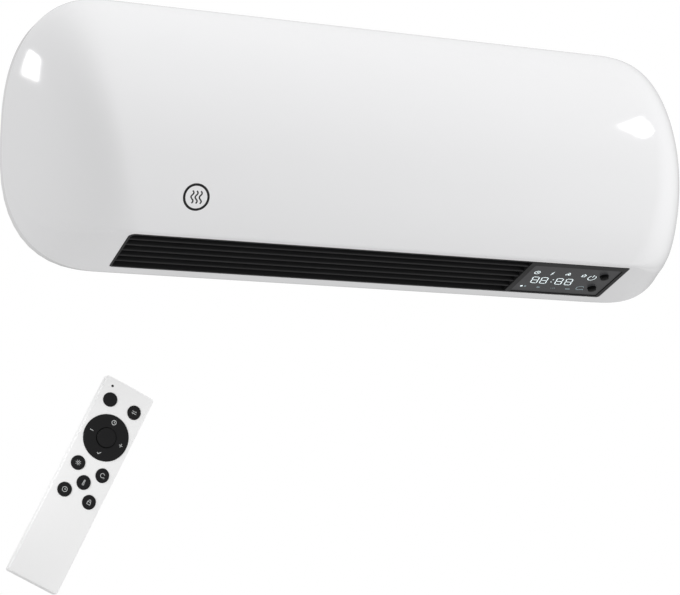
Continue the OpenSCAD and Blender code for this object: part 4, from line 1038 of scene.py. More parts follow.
    def skin(self, inset: float, back: float) -> np.ndarray:
        """The swept surface: each section with its rim, depth and height shrunk for its place.

        Args:
            inset: Distance inside the outer skin.
            back: Depth at which it starts and ends.

        Returns:
            A grid of station by section point by (x, y, z).
        """
        places = self.stations(inset)
        sections = np.stack([self.section(inset, back, edge) for edge in self.edge_at(places, inset)])
        x, d, z = places[:, None], sections[:, :, 0], sections[:, :, 1]
        rim = self.rim_at(x, inset) - self.back_d
        near = self.back_d + (np.minimum(d, self.rim_d) - self.back_d) * rim / (self.rim_d - self.back_d)
        depth = near + np.maximum(d - self.rim_d, 0) * self.depth_keep(x, z, inset)
        height = self.waist_z + (z - self.waist_z) * self.height_keep(x, inset)
        return np.stack(np.broadcast_arrays(x, -depth, height), axis=-1)

    def on_front(self, x: np.ndarray, z: np.ndarray, proud: float) -> np.ndarray:
        """Points on the front's middle stretch, by reading the curve's depth at their height.

        Args:
            x: Places across.
            z: Heights.
            proud: Distance outside the skin.

        Returns:
            Rows of (x, y, z).
        """
        table = self.front_table(-proud)
        d = np.interp(z, table[:, 1], table[:, 0])
        depth = self.rim_d + (d - self.rim_d) * self.depth_keep(x, z, 0.0)
        return np.column_stack((x, -depth, z))


# ---- Pieces ----


class Workshop:
    """Gives each new piece the material of its slot or of another finish and its body, and hides the solids
    that it stands for.
    """

    def __init__(self) -> None:
        """Builds every finish."""
        groups = Groups()
        self.materials = {finish.slot: finish.material(groups) for finish in FINISHES}
        self.slots = {part["node"]: part["material_slot"] for part in frame["record"]["subparts"]}
        bodies = frame["record"]["behaviour"]["bodies"]
        self.body_of = {name: body for body, names in bodies.items() for name in names}

    def finish(self, piece: Piece, slot: str, nodes: Sequence[str] = (), body: str = "heater",
               look: str | None = None) -> None:
        """Dresses a piece and hangs it on a body.

        Args:
            piece: The finished object.
            slot: The record's slot that it takes its finish from.
            nodes: The solids that it stands for.
            body: The body that it moves with.
            look: Another finish's name, where it isn't the slot's own.
        """
        self.dress(piece, look or slot)
        if nodes:
            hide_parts(*nodes)
        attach(piece, body)
        LOG.info("%s rides on %s, %d faces", piece.name, body, len(piece.data.polygons))

    def dress(self, piece: Piece, look: str) -> None:
        """Gives an object one finish and no other."""
        piece.data.materials.clear()
        piece.data.materials.append(self.materials[look])

    def dress_solids(self) -> None:
        """Gives every solid that stays its finish."""
        for name, node in frame["nodes"].items():
            self.dress(node, self.slots[name])


@dataclass
class FrontCover:
    """The white cover: the rounded body hollowed out, with its outlet, intake and cord notch."""

    form: CapsuleForm
    # The outlet's place on the underside, and the intake's in (x, depth)
    outlet: Rect = (-202.5, 4.4, 202.5, 59.2)
    intake: Rect = (-180.0, 7.0, 180.0, 27.0)
    outlet_r: float = 2.5
    front_r: Pair = (5.4, 2.8)
    outlet_cut: Pair = (-6.0, 8.0)
    intake_r: float = 0.8
    # The cord notch in (x, height), and the screw bosses with their bores
    notch: Rect = (250.0, -34.6, 290.0, -25.4)
    notch_r: float = 1.0
    notch_d: Pair = (-1.0, 8.0)
    boss_r: float = 4.0
    boss_d: Pair = (11.5, 150.0)
    bore_r: float = 1.4
    bore_d: Pair = (0.0, 27.5)
    sharp: float = 38.0
    bosses: tuple[Pair, ...] = ((-243, 46), (-243, -52), (247, 44), (247, -66), (-100, 64), (60, 64))

    def solid(self, name: str, inset: float, back: float) -> Piece:
        """The closed body at an inset: the swept grid with a flat back and two small end faces."""
        grid = self.form.skin(inset, back)
        return to_object(name, grid, capped_faces(*grid.shape[:2]))

    def opening(self, name: str, grow: float, low: float, high: float) -> Piece:
        """A block in the outlet's shape, with its two front corners rounder.

        Args:
            name: The object's name.
            grow: Distance that each side is moved outwards.
            low: Its outer face, measured inwards from the underside.
            high: Its inner face.

        Returns:
            The new object.
        """
        front = (self.front_r[0] + grow, self.front_r[1] + grow)
        outline = rounded_outline(self.outlet, self.outlet_r + grow, 9, front, -grow)
        return prism(name, self.form.underside, outline, low, high)

    def posts(self, name: str, radius: float, steps: int, depths: Pair) -> list[Piece]:
        """A round post at each boss's place."""
        return [prism(name, WALL, disc_outline(x, z, radius, steps), *depths) for x, z in self.bosses]

    def build(self, shop: Workshop) -> None:
        """Builds the cover.

        Args:
            shop: The workshop that dresses it.
        """
        hollow = self.solid("cover_hollow", self.form.wall, self.form.back_d - 1)
        carve(hollow, self.posts("boss", self.boss_r, 32, self.boss_d))
        cover = self.solid("cover_shell", 0.0, self.form.back_d)
        intake = rounded_outline(self.intake, self.intake_r, steps=4)
        notch = rounded_outline(self.notch, self.notch_r, steps=4)
        carve(cover, [hollow, self.opening("outlet_cut", 0.0, *self.outlet_cut),
                      prism("intake_cut", LEVEL, intake, *self.form.roof_cut),
                      prism("notch_cut", WALL, notch, *self.notch_d),
                      *self.posts("bore", self.bore_r, 24, self.bore_d)])
        shop.finish(sharp_above(cover, self.sharp), "cover_white", ["front_cover"])


@dataclass
class HousingEnds:
    """The two ends of the rear housing's recessed wall, which its solid leaves open near the tips."""

    form: CapsuleForm
    # Distance inside the body's outline, the solid wall's end from the tip, and both faces' depths
    rim: float = 12.0
    from_tip: float = 22.0
    depths: Pair = (9.0, 11.5)
    steps: int = 24

    def build(self, shop: Workshop) -> None:
        """Builds a plate for each end, between the solid's straight edge and the rim's outline.

        Args:
            shop: The workshop that dresses them.
        """
        form = self.form
        reach = form.end_round - self.rim
        first = (form.end_round - self.from_tip) / reach
        turn = np.linspace(math.asin(first**(form.end_power / 2)), QUARTER, self.steps)
        x = form.end_x + reach * np.sin(turn)**(2 / form.end_power)
        rise = np.append(np.cos(turn[:-1])**(2 / form.end_power), 0.0)
        top = form.waist_z + (form.top_z - self.rim - form.waist_z) * rise
        low = form.waist_z + (self.rim - form.top_z + form.foot_rise - form.waist_z) * rise
        outline = np.column_stack((np.append(x, x[-2::-1]), np.append(top, low[-2::-1])))
        for name, side in (("left", -1), ("right", 1)):
            plate = prism(f"housing_end_{name}", WALL, outline * (side, 1), *self.depths)
            shop.finish(sharp_above(plate), shop.slots["rear_housing"])


@dataclass
class IntakeGrille:
    """The slotted grille in the top: a strip of the cover's own section with round-ended slots."""

    form: CapsuleForm
    window: Rect
    fit: float = 0.3
    # The slots: their width, the share of it that is rounded, their pitch and their distance from the edge
    slot_w: float = 4.0
    slot_round: float = 0.98
    pitch: float = 8.0
    margin: float = 2.2
    # Share of the front curve that lies over the window, and the bevels
    curve_share: float = 0.3
    soft: float = 0.3
    lug_soft: float = 0.15
    # The two lugs under the strip's ends
    lug_w: float = 3.0
    lug_h: float = 1.7
    lug_gap: float = 0.2
    lug_bite: float = 0.02
    lug_d: Pair = (9.0, 17.0)

    def slots(self) -> list[Solid]:
        """The slots' cutting blocks, evenly spaced about the middle."""
        half = self.slot_w / 2
        rect = (-half, self.window[1] + self.margin, half, self.window[3] - self.margin)
        outline = rounded_outline(rect, half * self.slot_round, steps=6)
        count = int((2 * self.window[2] - 2 * self.pitch) // self.pitch)
        middles = (np.arange(count) - (count - 1) / 2) * self.pitch
        return [swept(LEVEL, outline + (x, 0), *self.form.roof_cut) for x in middles]

    def build(self, shop: Workshop) -> None:
        """Builds the strip, cuts its slots, softens its edges and hangs its two lugs.

        Args:
            shop: The workshop that dresses them.
        """
        _, d0, x1, d1 = self.window
        end = x1 - self.fit
        shares = np.linspace(0, self.curve_share, 60)
        outer, inner = (self.form.front(shares, inset) for inset in (0.0, self.form.wall))
        depths = np.linspace(d0 + self.fit, d1 - self.fit, 14)
        upper = np.interp(depths, outer[:, 0], outer[:, 1])
        lower = np.interp(depths, inner[:, 0], inner[:, 1])
        ring = np.vstack((np.column_stack((depths, upper)), np.column_stack((depths, lower))[::-1]))
        strip = to_object("intake_strip", *swept(LEVEL, ring, -end, end, axis=0))
        carve(strip, [join_solids("slot_cuts", self.slots())])
        shop.finish(soften(sharp_above(strip), self.soft), "cover_white", ["intake_grille"])
        under = self.form.top_z - self.form.wall
        root, foot, hook = under + self.lug_bite, under - self.lug_h, under - self.lug_gap
        back, tip = end - self.lug_w, end + self.lug_w
        step = line((back, root), (back, foot), (tip, foot), (tip, hook), (end, hook), (end, root))
        for name, side in (("left", -1), ("right", 1)):
            lug = prism(f"intake_lug_{name}", WALL, step * (side, 1), *self.lug_d)
            shop.finish(soften(sharp_above(lug), self.lug_soft), "cover_white", ["intake_grille"])


@dataclass
class OutletGrille:
    """The black louvre moulding in the underside: frame, slats, ribs and the panel's pocket."""

    form: CapsuleForm
    cover: FrontCover
    # The frame, with the louvres left of the split and the panel's pocket right of it
    split_x: float = 118.5
    fit: float = 0.3
    wall: float = 1.6
    deep: float = 9.0
    pocket_d: float = 2.8
    ledge: float = 3.0
    bar: float = 4.6
    panel_front: float = 4.9
    panel_end: float = 1.6
    louvre_r: float = 0.9
    louvre_front_r: Pair = (3.4, 1.2)
    pocket_r: float = 1.2
    past: float = 2.0
    soft: float = 0.35
    # The slats and the ribs
    bite: float = 0.3
    sharp: float = 40.0
    slats: int = 5
    slat_t: float = 1.7
    slat_from: float = 0.4
    slat_neck: float = 3.0
    taper: float = 0.25
    back_gap: float = 0.6
    ribs: int = 3
    rib_r: float = 0.8
    rib_from: float = 5.0

    @property
    def louvre(self) -> Rect:
        """The open field's low x, low v, high x and high v."""
        x0, v0, x1, v1 = self.cover.outlet
        edge = self.fit + self.wall
        return x0 + edge, v0 + edge, self.split_x - self.wall / 2, v1 - edge

    @property
    def pocket(self) -> Rect:
        """The panel pocket's low x, low v, high x and high v."""
        _, v0, x0, v1 = self.louvre
        end = self.cover.outlet[2] - self.fit - self.wall - self.panel_end
        return x0 + self.bar, v0 + self.panel_front, end, v1

    def slat_profile(self) -> np.ndarray:
        """One slat's section in (v, n): a rounded lip in front, tapering a little to the back."""
        half, back = self.slat_t / 2, self.deep - self.back_gap
        lip = arc(half, self.slat_from + half, half, 180, 360, 9)
        sides = line((self.slat_t, self.slat_neck), (self.slat_t - self.taper, back), (self.taper, back),
                     (0, self.slat_neck))
        return np.vstack((lip, sides))

    def rib_profile(self) -> np.ndarray:
        """One rib's section in (x, n): a plate with a rounded front edge."""
        back = self.deep - self.back_gap
        return np.vstack((arc(0, self.rib_from + self.rib_r, self.rib_r, 180, 360, 7),
                          line((self.rib_r, back), (-self.rib_r, back))))

    def bars(self) -> list[Solid]:
        """The slats, carried along x, and the ribs, carried along v, at even steps over the open field."""
        seat = self.form.underside
        x0, v0, x1, v1 = self.louvre
        slat, rib = self.slat_profile(), self.rib_profile()
        pitch = (v1 - v0 + self.slat_t) / (self.slats + 1)
        across = [v0 - self.slat_t + (i + 1) * pitch for i in range(self.slats)]
        along = [x0 + (x1 - x0) * (i + 1) / (self.ribs + 1) for i in range(self.ribs)]
        return [*[swept(seat, slat + (v, 0), x0 - self.bite, x1 + self.bite, axis=0) for v in across],
                *[swept(seat, rib + (x, 0), v0 - self.bite, v1 + self.bite, axis=1) for x in along]]

    def build(self, shop: Workshop) -> None:
        """Builds the frame with its openings, and the slats and ribs in it.

        Args:
            shop: The workshop that dresses them.
        """
        seat = self.form.underside
        louvre = rounded_outline(self.louvre, self.louvre_r, steps=7, front=self.louvre_front_r)
        pocket = rounded_outline(self.pocket, self.pocket_r, steps=5)
        through = rounded_outline(self.pocket, self.pocket_r, steps=5, inset=self.ledge)
        end = self.deep + self.past
        moulding = self.cover.opening("grille_frame", -self.fit, 0.0, self.deep)
        carve(moulding, [prism("louvre_cut", seat, louvre, -self.past, end),
                         prism("pocket_cut", seat, pocket, -self.past, self.pocket_d),
                         prism("through_cut", seat, through, 0, end)])
        shop.finish(soften(sharp_above(moulding), self.soft, segments=3), "grille_black", ["outlet_grille"])
        louvres = join_solids("grille_louvres", self.bars())
        shop.finish(sharp_above(louvres, self.sharp), "grille_black", ["outlet_grille"])


class DigitBar(Enum):
    """The seven bars of one digit, each as two ends in a box one wide and two high."""

    TOP = ((0, 0), (1, 0))
    UPPER_LEFT = ((0, 0), (0, 1))
    UPPER_RIGHT = ((1, 0), (1, 1))
    MIDDLE = ((0, 1), (1, 1))
    LOWER_LEFT = ((0, 1), (0, 2))
    LOWER_RIGHT = ((1, 1), (1, 2))
    BOTTOM = ((0, 2), (1, 2))


@dataclass
class ControlPanel:
    """The dark fascia with its two round buttons, four digits and plain signs.

    Places on the panel are (x, v) of the underside's frame, and depths are measured inwards from it.
    """

    form: CapsuleForm
    grille: OutletGrille
    fit: float = 0.3
    front: float = 0.6
    thick: float = 2.0
    corner_r: float = 1.0
    soft: float = 0.3
    hole_d: Pair = (-1.0, 5.0)
    # The buttons: a dome, its edge, a lip at the back and their places
    button_r: float = 3.3
    proud: float = 3.0
    dome_r: float = 7.3
    dome_in: float = 0.3
    button_edge: float = 0.4
    lip_w: float = 1.2
    lip_d: Pair = (2.9, 3.8)
    button_back: float = 4.6
    button_x: float = 188.5
    button_v: Pair = (22.8, 44.0)
    button_sharp: float = 40.0
    # The digits, as sheared bars
    digits_x: tuple[float, ...] = (130.6, 138.4, 151.8, 160.2)
    digit_v: Pair = (31.3, 41.6)
    digit_w: float = 5.3
    lean: float = 0.2
    bar_gap: float = 0.1
    stroke: float = 0.72
    # The print: how far it stands before the fascia and goes into it, and its signs and short lines
    ink: float = 0.035
    sunk: float = 0.02
    print_sharp: float = 30.0
    bright: tuple[Sign, ...] = (
        Sign(Icon.TIMER, (130.0, 23.5), (2.5, 2.9)), Sign(Icon.BOLT, (143.3, 23.6), (2.0, 2.7)),
        Sign(Icon.FAN, (157.1, 23.2), (2.4, 2.5)), Sign(Icon.HOUSE, (171.2, 23.6), (2.4, 2.6)),
        Sign(Icon.POWER, (179.7, 26.5), (3.85, 4.8)))
    bright_w: float = 0.55
    colon: tuple[tuple[Pair, Pair], ...] = (((148.8, 34.2), (149.8, 34.3)), ((148.8, 38.2), (149.8, 38.3)))
    colon_w: float = 0.9
    faint: tuple[Sign, ...] = (
        Sign(Icon.HEAT, (143.1, 48.7), (1.7, 1.1)), Sign(Icon.BARS, (156.0, 48.7), (2.0, 1.0)),
        Sign(Icon.SWAP, (169.2, 48.7), (2.4, 1.0)), Sign(Icon.LOOP, (178.8, 45.7), (4.1, 4.2)))
    faint_w: float = 0.45
    dash: tuple[Pair, Pair] = ((130.8, 48.3), (132.2, 48.3))
    dash_w: float = 1.6
    lamp: Pair = (128.3, 48.4)
    lamp_dome: tuple[Pair, ...] = ((0, -0.1), (0.8, -0.07), (1.25, 0.02), (0, 0.02))

    @property
    def levels(self) -> Pair:
        """Depths of the print's outer and inner face."""
        return self.front - self.ink, self.front + self.sunk

    def digits(self) -> list[Solid]:
        """The digits' lit bars as ribbons, sheared by the lean, with a small gap at each bar's ends."""
        top, bottom = self.digit_v
        box = (self.digit_w, (bottom - top) / 2)
        bars = []
        for x in self.digits_x:
            for bar in DigitBar:
                start, end = np.array(bar.value, float) * box
                gap = (end - start) * self.bar_gap
                ends = np.array((start + gap, end - gap))
                ends[:, 0] += x + self.lean * ends[:, 1]
                ends[:, 1] += top
                bars.append(ribbon(ends, False, self.stroke, *self.levels))
        return bars

    def signs(self, signs: Sequence[Sign], width: float, lines: Sequence[tuple[Pair, Pair]],
              line_w: float) -> list[Solid]:
        """A row of signs and the short lines beside them.

        Args:
            signs: The signs.
            width: Width of their lines.
            lines: Both ends of each short line.
            line_w: Width of the short lines.

        Returns:
            One solid for each stroke.
        """
        strokes = [stroke for sign in signs for stroke in sign.ribbons(width, self.levels, True)]
        return strokes + [ribbon(line(*ends), False, line_w, *self.levels) for ends in lines]

    def button_profile(self) -> np.ndarray:
        """A button's half section: a shallow dome, a rounded edge, a straight side and a back lip."""
        radius = np.linspace(0, self.button_r - self.dome_in, 14)
        rise = self.dome_r - np.sqrt(self.dome_r**2 - radius**2)
        dome = np.column_stack((radius, self.front - self.proud + rise))
        edge_r, lip = self.button_edge, self.button_r + self.lip_w
        edge = arc(self.button_r - edge_r, dome[-1][1] + edge_r, edge_r, -60, 0, 6)
        start, end = self.lip_d
        back = line((self.button_r, start), (lip, start), (lip, end), (self.button_r, end),
                    (self.button_r, self.button_back), (0, self.button_back))
        return np.vstack((dome, edge, back))

    def build(self, shop: Workshop) -> None:
        """Builds the fascia, its graphics and the buttons.

        Args:
            shop: The workshop that dresses them.
        """
        seat = self.form.underside
        outline = rounded_outline(self.grille.pocket, self.corner_r, steps=6, inset=self.fit)
        plate = prism("panel_plate", seat, outline, self.front, self.front + self.thick)
        holes = [disc_outline(self.button_x, v, self.button_r + self.fit, steps=56) for v in self.button_v]
        carve(plate, [prism("hole", seat, hole, *self.hole_d) for hole in holes])
        shop.finish(soften(sharp_above(plate), self.soft, segments=3), "panel_black", ["control_fascia"])
        bright = self.signs(self.bright, self.bright_w, self.colon, self.colon_w)
        faint = self.signs(self.faint, self.faint_w, [self.dash], self.dash_w)
        for name, strokes, look in (("panel_digits", self.digits(), "lamp_white"),
                                    ("panel_signs", bright, "lamp_white"),
                                    ("panel_faint_signs", faint, "lamp_faint")):
            placed = [(seat.place(points), quads) for points, quads in strokes]
            shop.finish(sharp_above(join_solids(name, placed), self.print_sharp), "panel_black", look=look)
        lamp = turned("panel_lamp", seat, self.lamp, np.array(self.lamp_dome) + (0, self.front), steps=32)
        shop.finish(lamp, "panel_black", look="lamp_white")
        for node, v in zip(("power_button", "mode_button"), self.button_v):
            cap = turned(f"{node}_cap", seat, (self.button_x, v), self.button_profile())
            shop.finish(sharp_above(cap, self.button_sharp), "button_black", [node], shop.body_of[node])


@dataclass
class CoverMark:
    """The printed ring on the cover's front, with three wavy heat lines in it."""

    form: CapsuleForm
    # Its middle in (x, height), and its sizes measured along the front
    centre: Pair = (-160.0, -57.0)
    radius: float = 9.0
    width: float = 1.75
    waves: Pair = (5.6, 6.0)
    wave_w: float = 1.0
    thick: float = 0.1
    proud: float = 0.04
    sunk: float = 0.05

    def build(self, shop: Workshop) -> None:
        """Lays the ring and the lines on the curved front, measured along the curve.

        Args:
            shop: The workshop that dresses them.
        """
        ring, closed = ring_of(0, 0, self.radius, steps=96)
        flat = [ribbon(ring, closed, self.width, 0.0, self.thick)]
        flat += Sign(Icon.HEAT, (0, 0), self.waves).ribbons(self.wave_w, (0.0, self.thick))
        table = self.form.front_table()
        run = np.concatenate(([0], np.cumsum(np.linalg.norm(np.diff(table, axis=0), axis=1))))
        middle = np.interp(self.centre[1], table[:, 1], run)
        placed = []
        for points, quads in flat:
            x = self.centre[0] + points[:, 0]
            height = np.interp(middle + points[:, 1], run, table[:, 1])
            outer, inner = (self.form.on_front(x, height, proud) for proud in (self.proud, -self.sunk))
            placed.append((np.where(points[:, 2:3] > self.thick / 2, outer, inner), quads))
        shop.finish(join_solids("printed_mark", placed), "cover_white", look="print_black")


@dataclass(frozen=True)
class Key:
    """One round key of the remote.

    Attributes:
        x: Its middle across the remote.
        y: Its middle along the remote.
        icon: The sign on it, if any.
        radius: Its radius.
        hole: Radius of the hole in it, or zero.
        lip: Width of the hidden lip at its back.
        dish: Depth of its dished top.
        lift: Height of its edge over the shell's arch.
    """

    x: float
    y: float
    icon: Icon | None = None
    radius: float = 5.0
    hole: float = 0.0
    lip: float = 1.0
    dish: float = 0.3
    lift: float = 0.6


@dataclass
class Remote:
    """The slim hand remote: arched white shell, round keys, a ring key and a centre key.

    Places are (across, along) from its middle, and heights are measured out from the wall.
    """

    centre: Pair = (-212.3, -253.4)
    tilt: float = math.radians(26.3)
    width: float = 39.6
    length: float = 155.5
    edge_h: float = 8.2
    middle_h: float = 10.2
    arch_power: float = 2.4
    split_h: float = 4.0
    split_gap: float = 0.12
    corner: float = 1.5
    corner_fall: float = 0.9
    least_corner: float = 0.15
    soft: float = 0.8
    foot_share: float = 0.3
    spine: float = 0.4
    top_steps: int = 15
    shell: float = 1.6
    hollow_soft: float = 0.3
    sharp: float = 42.0
    # The openings: the wells' heights, the lamp's place and radius, and the ends' in (across, height)
    wells: Pair = (3.0, 14.0)
    lamp: Triple = (-13.1, 71.8, 0.92)
    window: Rect = (-6.0, 2.4, 6.0, 7.0)
    window_r: float = 0.5
    tray: Rect = (-12.7, 1.5, 12.7, 6.1)
    tray_r: float = 0.3
    end_cut: Pair = (2.6, 1.0)
    # The keys and the signs on them
    key_gap: float = 0.3
    key_low: float = 6.0
    lip_h: float = 1.0
    key_soft: float = 0.35
    key_sharp: float = 50.0
    keys: dict[str, Key] = field(default_factory=lambda: {
        "key_power": Key(-10.1, 62.2), "key_mode": Key(10.1, 62.2, Icon.SWAP),
        "key_day": Key(-10.1, 11.1, Icon.SUN), "key_auto": Key(10.1, 11.1, Icon.LOOP),
        "key_temp": Key(0.0, 0.4, Icon.WARMTH), "key_delay": Key(-10.1, -10.1, Icon.TIMER),
        "key_lock": Key(10.1, -10.1, Icon.LOCK)})
    ring_y: float = 36.4
    ring_r: float = 16.8
    centre_r: float = 7.0
    sign: Pair = (2.1, 2.1)
    sign_w: float = 0.42
    ring_signs: tuple[tuple[Icon, float, float], ...] = (
        (Icon.MINUS, 180, 1.7), (Icon.PLUS, 0, 1.7), (Icon.TIMER, 90, 1.9), (Icon.TICK, 270, 1.9))
    ring_sign_r: float = 12.2
    ring_sign_w: float = 0.5
    print_levels: Pair = (0.03, -0.05)

    @property
    def ring(self) -> Key:
        """The ring key, whose hole leaves room for the centre key."""
        hole = self.centre_r + self.key_gap
        return Key(0.0, self.ring_y, radius=self.ring_r, hole=hole, lip=0.0, dish=0.7)

    @property
    def centre_key(self) -> Key:
        """The key in the ring, which stands a little higher."""
        return Key(0.0, self.ring_y, radius=self.centre_r, lip=0.0, dish=0.5, lift=0.8)

    @property
    def seat(self) -> Seat:
        """The remote's own frame: across, up its length, and out from the wall."""
        c, s = math.cos(self.tilt), math.sin(self.tilt)
        return Seat((self.centre[0], 0, self.centre[1]), (c, 0, -s), (s, 0, c), (0, -1, 0))

    def arch(self, x: np.ndarray) -> np.ndarray:
        """Height of the top: the edge plus the rise times one minus the power of x's share."""
        share = np.clip(np.abs(x) / (self.width / 2), 0, 1)
        return self.edge_h + (self.middle_h - self.edge_h) * (1 - share**self.arch_power)

    def shell_solid(self, name: str, inset: float, low: float, drop: float, soft: float) -> Piece:
        """A closed solid under the arch: outlines that shrink over its foot, its top edge and its top.

        Both roundings are quarter circles, and the foot's is the smaller one.

        Args:
            name: The object's name.
            inset: Distance inside the remote's outline.
            low: Height of its flat bottom.
            drop: Distance of its top under the arch.
            soft: Radius of the rounded edges.

        Returns:
            The new object.
        """
        half = np.array((self.width / 2 - inset, self.length / 2 - inset))
        turn = np.linspace(0, QUARTER, 7)
        foot = turn[::2]
        insets = np.concatenate((soft * self.foot_share * (1 - np.sin(foot)), soft * (1 - np.cos(turn)),
                                 np.linspace(soft, half[0] - self.spine, self.top_steps + 1)[1:]))
        radii = np.maximum(self.corner - insets * self.corner_fall, self.least_corner)
        plans = np.stack([even_outline(half - step, radius) for step, radius in zip(insets, radii)])
        rise = low + soft * self.foot_share * (1 - np.cos(foot))[:, None] + np.zeros(plans.shape[1])
        fall = np.concatenate((soft * (1 - np.sin(turn)), np.zeros(self.top_steps)))[:, None]
        z = np.vstack((rise, self.arch(plans[len(foot):, :, 0]) - drop - fall))
        grid = np.concatenate((plans, z[..., None]), -1)
        return to_object(name, self.seat.place(grid), capped_faces(*grid.shape[:2]))

    def key_height(self, key: Key, x: np.ndarray, y: np.ndarray) -> np.ndarray:
        """Top of a key: the arch plus its lift, less a dish that falls as one minus r squared."""
        share = np.clip(np.hypot(x - key.x, y - key.y) / key.radius, 0, 1)
        return self.arch(x) + key.lift - key.dish * (1 - share**2)

    def key_cap(self, name: str, key: Key) -> Piece:
        """A round key: rings over its flat back and lip, round the rim, and over the dished top.

        Args:
            name: The object's name.
            key: The key.

        Returns:
            The new object.
        """
        edge, soft, inner = key.radius, self.key_soft, key.hole or POLE
        turn = np.linspace(0, QUARTER, 6)
        back = line((inner, 0), (edge + key.lip, 0), (edge + key.lip, self.lip_h), (edge, self.lip_h))
        rim = np.column_stack((edge - soft + soft * np.cos(turn), soft * (1 - np.sin(turn))))
        reach = np.linspace(edge - soft, key.hole + soft if key.hole else inner, 12)[1:]
        top = [rim, np.column_stack((reach, np.zeros(len(reach))))]
        if key.hole:
            top.append(np.column_stack((key.hole + soft - soft * np.sin(turn), soft * (1 - np.cos(turn)))))
        profile = np.vstack((back, *top))
        a = around(64)
        x, y = key.x + profile[:, :1] * np.cos(a), key.y + profile[:, :1] * np.sin(a)
        low, high = self.key_low + profile[:, 1:], self.key_height(key, x, y) - profile[:, 1:]
        z = np.where(np.arange(len(profile))[:, None] < len(back), low, high)
        faces = grid_faces(len(profile), len(a), bool(key.hole), True)
        return sharp_above(to_object(name, self.seat.place(np.stack((x, y, z), -1)), faces), self.key_sharp)

    def cutters(self) -> list[Piece]:
        """The hollow, the wells of keys and lamp, and the openings in both ends."""
        seat, half = self.seat, self.length / 2
        ends = Seat(seat.origin, seat.across, seat.inward, seat.along)
        inside, outside = self.end_cut
        wells = [(key.x, key.y, key.radius + self.key_gap, 64) for key in self.keys.values()]
        wells += [(self.ring.x, self.ring.y, self.ring.radius + self.key_gap, 96), (*self.lamp, 24)]
        window = rounded_outline(self.window, self.window_r, steps=4)
        tray = rounded_outline(self.tray, self.tray_r, steps=4)
        return [self.shell_solid("hollow", self.shell, self.split_h - 1, self.shell, self.hollow_soft),
                *[prism("well", seat, disc_outline(*well), *self.wells) for well in wells],
                prism("window_cut", ends, window, half - inside, half + outside),
                prism("tray_cut", ends, tray, -half - outside, inside - half)]

    def print_on(self, name: str, key: Key, strokes: Sequence[Solid], shop: Workshop, body: str) -> None:
        """Lays ribbons on a key's top and hangs them on its body.

        Args:
            name: The printed piece's name.
            key: The key.
            strokes: The ribbons, in the remote's own frame.
            shop: The workshop that dresses them.
            body: The key's body.
        """
        placed = []
        for points, quads in strokes:
            rise = self.key_height(key, points[:, 0], points[:, 1])
            placed.append((self.seat.place(points + np.outer(rise, (0, 0, 1))), quads))
        shop.finish(join_solids(name, placed), "key_black", body=body, look="print_grey")

    def build(self, shop: Workshop) -> None:
        """Builds the shell, the keys and their signs.

        Args:
            shop: The workshop that dresses them.
        """
        top = self.shell_solid("remote_shell", 0.0, self.split_h + self.split_gap, 0.0, self.soft)
        carve(top, self.cutters())
        shop.finish(sharp_above(top, self.sharp), "remote_white", ["remote_top"])
        for name, key in {**self.keys, "ring_key": self.ring, "centre_key": self.centre_key}.items():
            body = shop.body_of[name]
            shop.finish(self.key_cap(f"{name}_cap", key), "key_black", [name], body)
            if key.icon:
                strokes = Sign(key.icon, (key.x, key.y), self.sign).ribbons(self.sign_w, self.print_levels)
                self.print_on(f"{name}_sign", key, strokes, shop, body)
        strokes = []
        for icon, angle, size in self.ring_signs:
            across, along = polar(self.ring_sign_r, angle)
            sign = Sign(icon, (self.ring.x + across, self.ring.y + along), (size, size))
            strokes += sign.ribbons(self.ring_sign_w, self.print_levels)
        self.print_on("ring_key_signs", self.ring, strokes, shop, shop.body_of["ring_key"])


# ---- Light and camera ----


@dataclass
class Camera:
    """The photograph's view."""

    turn: float = math.radians(22.83)
    rise: float = math.radians(11.9)
    place: Triple = (-0.6157, -1.4625, -0.334)
    # In pixels of the picture: the focal length, and the point that it looks at squarely
    focal: float = 2070.0
    centre: Pair = (351.63, 162.03)

    @property
    def axes(self) -> tuple[np.ndarray, np.ndarray, np.ndarray]:
        """The view's right, up and forward directions."""
        c, s = math.cos(self.turn), math.sin(self.turn)
        forward = np.array((s * math.cos(self.rise), c * math.cos(self.rise), math.sin(self.rise)))
        right = np.array((c, -s, 0.0))
        return right, np.cross(right, forward), forward

    def build(self) -> None:
        """Creates the camera and makes it the scene's own."""
        right, up, forward = self.axes
        data = bpy.data.cameras.new("view")
        data.sensor_width = 36.0
        data.sensor_fit = "HORIZONTAL"
        data.lens = self.focal / PICTURE_WIDTH * data.sensor_width
        data.shift_x = (PICTURE_WIDTH / 2 - self.centre[0]) / PICTURE_WIDTH
        data.shift_y = (self.centre[1] - PICTURE_HEIGHT / 2) / PICTURE_WIDTH
        data.clip_end = 50
        camera = bpy.data.objects.new("view", data)
        turn = Matrix((right, up, -forward)).transposed()
        camera.matrix_world = Matrix.Translation(self.place) @ turn.to_4x4()
        bpy.context.scene.collection.objects.link(camera)
        bpy.context.scene.camera = camera


